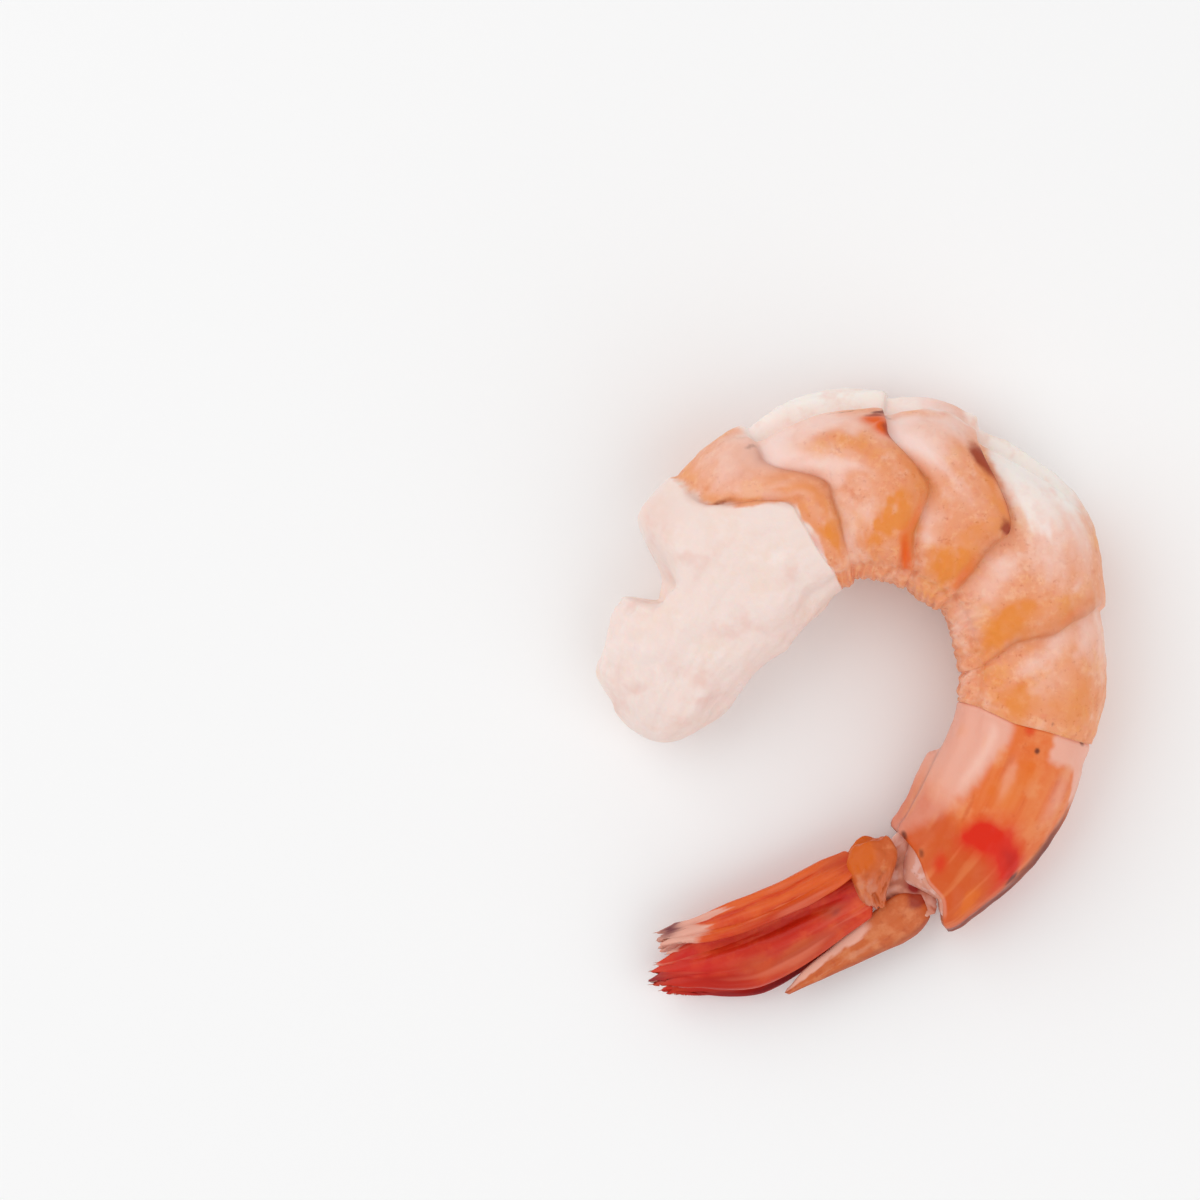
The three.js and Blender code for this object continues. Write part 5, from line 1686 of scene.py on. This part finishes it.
# %% Paints of the small pieces
def telson_paint(tree):
    """Orange-brown wedge, paler ridge, brown back side, red base and tip, and a painted highlight along
    the edge towards the blades.
    """
    base = painted(tree, (206, 102, 50), [
        ((218, 128, 80), cloudy(tree, 600.0, 0.42, 0.68)),
        ((188, 80, 40), cloudy(tree, 1000.0, 0.5, 0.75, 0.7)),
    ])
    return painted(tree, base, [
        ((220, 148, 114), frayed_mask(tree, "pale", 900.0, 0.8, 0.5)),
        ((170, 80, 52), mesh_mask(tree, "brown", 0.75)),
        ((150, 36, 26), frayed_mask(tree, "red", 900.0, 0.6, 0.8)),
        # Painted highlight along the edge towards the blades.
        ((238, 178, 158), frayed_mask(tree, "edge", 1000.0, 0.7, 0.9)),
    ])


def stub_paint(tree):
    """Orange cushion, amber bulge, whitish knobs, and painted shade in the hollows between them."""
    base = painted(tree, (204, 96, 44), [
        ((220, 126, 76), cloudy(tree, 600.0, 0.45, 0.68)),
    ])
    return painted(tree, base, [
        ((212, 96, 14), frayed_mask(tree, "amber", 600.0, 0.5)),
        ((206, 130, 104), mesh_mask(tree, "pale", 0.8)),
        # Painted shade in the hollows between the knobs.
        ((164, 80, 46), mesh_mask(tree, "dark", 0.8)),
    ])


def joint_paint(tree):
    """Salmon skin, whitish on its folds, painted brown shade between them, dark red near the telson."""
    base = painted(tree, (220, 150, 124), [
        ((228, 168, 148), cloudy(tree, 500.0, 0.45, 0.75)),
    ])
    return painted(tree, base, [
        ((236, 190, 176), mesh_mask(tree, "pale", 0.8)),
        # Painted shade between the folds.
        ((166, 84, 56), mesh_mask(tree, "brown", 0.8)),
        ((150, 32, 24), mesh_mask(tree, "red")),
    ])


def fringe_paint(tree):
    """Pinkish, nearly colourless hairs."""
    return painted(tree, (228, 164, 142), [((198, 104, 80), cloudy(tree, 500.0, 0.5, 0.7))])


print("paints of small pieces: telson, stub, joint and fringe")

# %% [markdown]
# Each row names the finish, its paint, its two roughnesses and the pieces that it covers.

# %% Finishes of the small pieces
SMALL_FINISHES = [
    ("cooked telson", telson_paint, (0.34, 0.5), ["telson_wedge"]),
    ("cooked stub", stub_paint, (0.36, 0.52), ["left_protopod_cushion", "right_protopod_cushion"]),
    ("skin of the joint", joint_paint, (0.4, 0.55), ["joint_skin_folds"]),
    ("fringe", fringe_paint, (0.35, 0.5), ["fan_fringe"]),
]

for finish_name, paint, roughness, piece_names in SMALL_FINISHES:
    finish = wet_material(
        finish_name, paint, roughness, 0.12, (1100.0, 0.25), soft=0.1, depth=0.0007, shine=0.2)
    for piece_name in piece_names:
        bpy.data.objects[piece_name].data.materials.append(finish)
print("materials:", ", ".join(material.name for material in bpy.data.materials))

# %% [markdown]
# ## Table and light
#
# The photograph is taken from straight above on white, in soft light that comes mostly from
# the left: the shell's highlight lies on its left side. So there is a pale floor, an even
# bright surrounding, one large soft light on the left and a weaker one on the right.

# %% Floor
FLOOR_HALF = 1.5
FLOOR_CORNERS = [(-1, -1), (1, -1), (1, 1), (-1, 1)]

floor_mesh = bpy.data.meshes.new("floor")
floor_points = [(FLOOR_HALF * x, FLOOR_HALF * y, 0.0) for x, y in FLOOR_CORNERS]
floor_mesh.from_pydata(floor_points, [], [(0, 1, 2, 3)])
floor = bpy.data.objects.new("floor", floor_mesh)
bpy.context.collection.objects.link(floor)
floor_finish = bpy.data.materials.new("pale floor")
floor_finish.use_nodes = True
floor_shader = floor_finish.node_tree.nodes["Principled BSDF"]
floor_shader.inputs["Base Color"].default_value = (0.95, 0.95, 0.95, 1.0)
floor_shader.inputs["Roughness"].default_value = 0.9
floor_mesh.materials.append(floor_finish)
print("floor:", 2 * FLOOR_HALF, "m wide")

# %% [markdown]
# Both lights are squares of 0.8 m, about half a metre above the table. Each is turned until
# it faces the middle of the shrimp.

# %% Light
LIGHT_TARGET, LIGHT_SIZE = (0.0, 0.0, 0.008), 0.8


def place_light(name, place, power):
    """Large square light that points at the middle of the shrimp."""
    light = bpy.data.lights.new(name, "AREA")
    light.size = LIGHT_SIZE
    light.energy = power
    holder = bpy.data.objects.new(name, light)
    holder.location = place
    ahead = np.array(LIGHT_TARGET) - np.array(place)
    pitch = math.acos(-ahead[2] / np.linalg.norm(ahead))
    holder.rotation_euler = (pitch, 0.0, math.atan2(-ahead[0], ahead[1]))
    bpy.context.collection.objects.link(holder)


world = bpy.data.worlds.new("soft surrounding")
world.use_nodes = True
world.node_tree.nodes["Background"].inputs["Color"].default_value = (1.0, 1.0, 1.0, 1.0)
world.node_tree.nodes["Background"].inputs["Strength"].default_value = 0.65
bpy.context.scene.world = world

place_light("soft_left", (-0.46, 0.24, 0.5), 1.9)
place_light("soft_right", (0.38, -0.34, 0.5), 1.5)
bpy.context.scene.view_settings.view_transform = "Standard"
print("lights:", len(bpy.data.lights))

# %% [markdown]
# ## The camera
#
# The camera looks straight down. One pixel of the photograph is a tenth of a millimetre, and
# its middle lies above the shrimp and to the left, so the same framing puts the shrimp at the
# lower right, where the photograph has it.

# %% Camera
VIEW_WIDTH = 0.12
VIEW_MIDDLE = (-0.02514, 0.00952, 0.008)
FIELD_OF_VIEW = 9.0

camera_data = bpy.data.cameras.new("camera")
camera_data.angle = math.radians(FIELD_OF_VIEW)
camera = bpy.data.objects.new("camera", camera_data)
distance = VIEW_WIDTH / 2 / math.tan(math.radians(FIELD_OF_VIEW / 2))
camera.location = (VIEW_MIDDLE[0], VIEW_MIDDLE[1], VIEW_MIDDLE[2] + distance)
bpy.context.collection.objects.link(camera)
bpy.context.scene.camera = camera
print(f"camera: {1000 * distance:.0f} mm above the shrimp's middle")
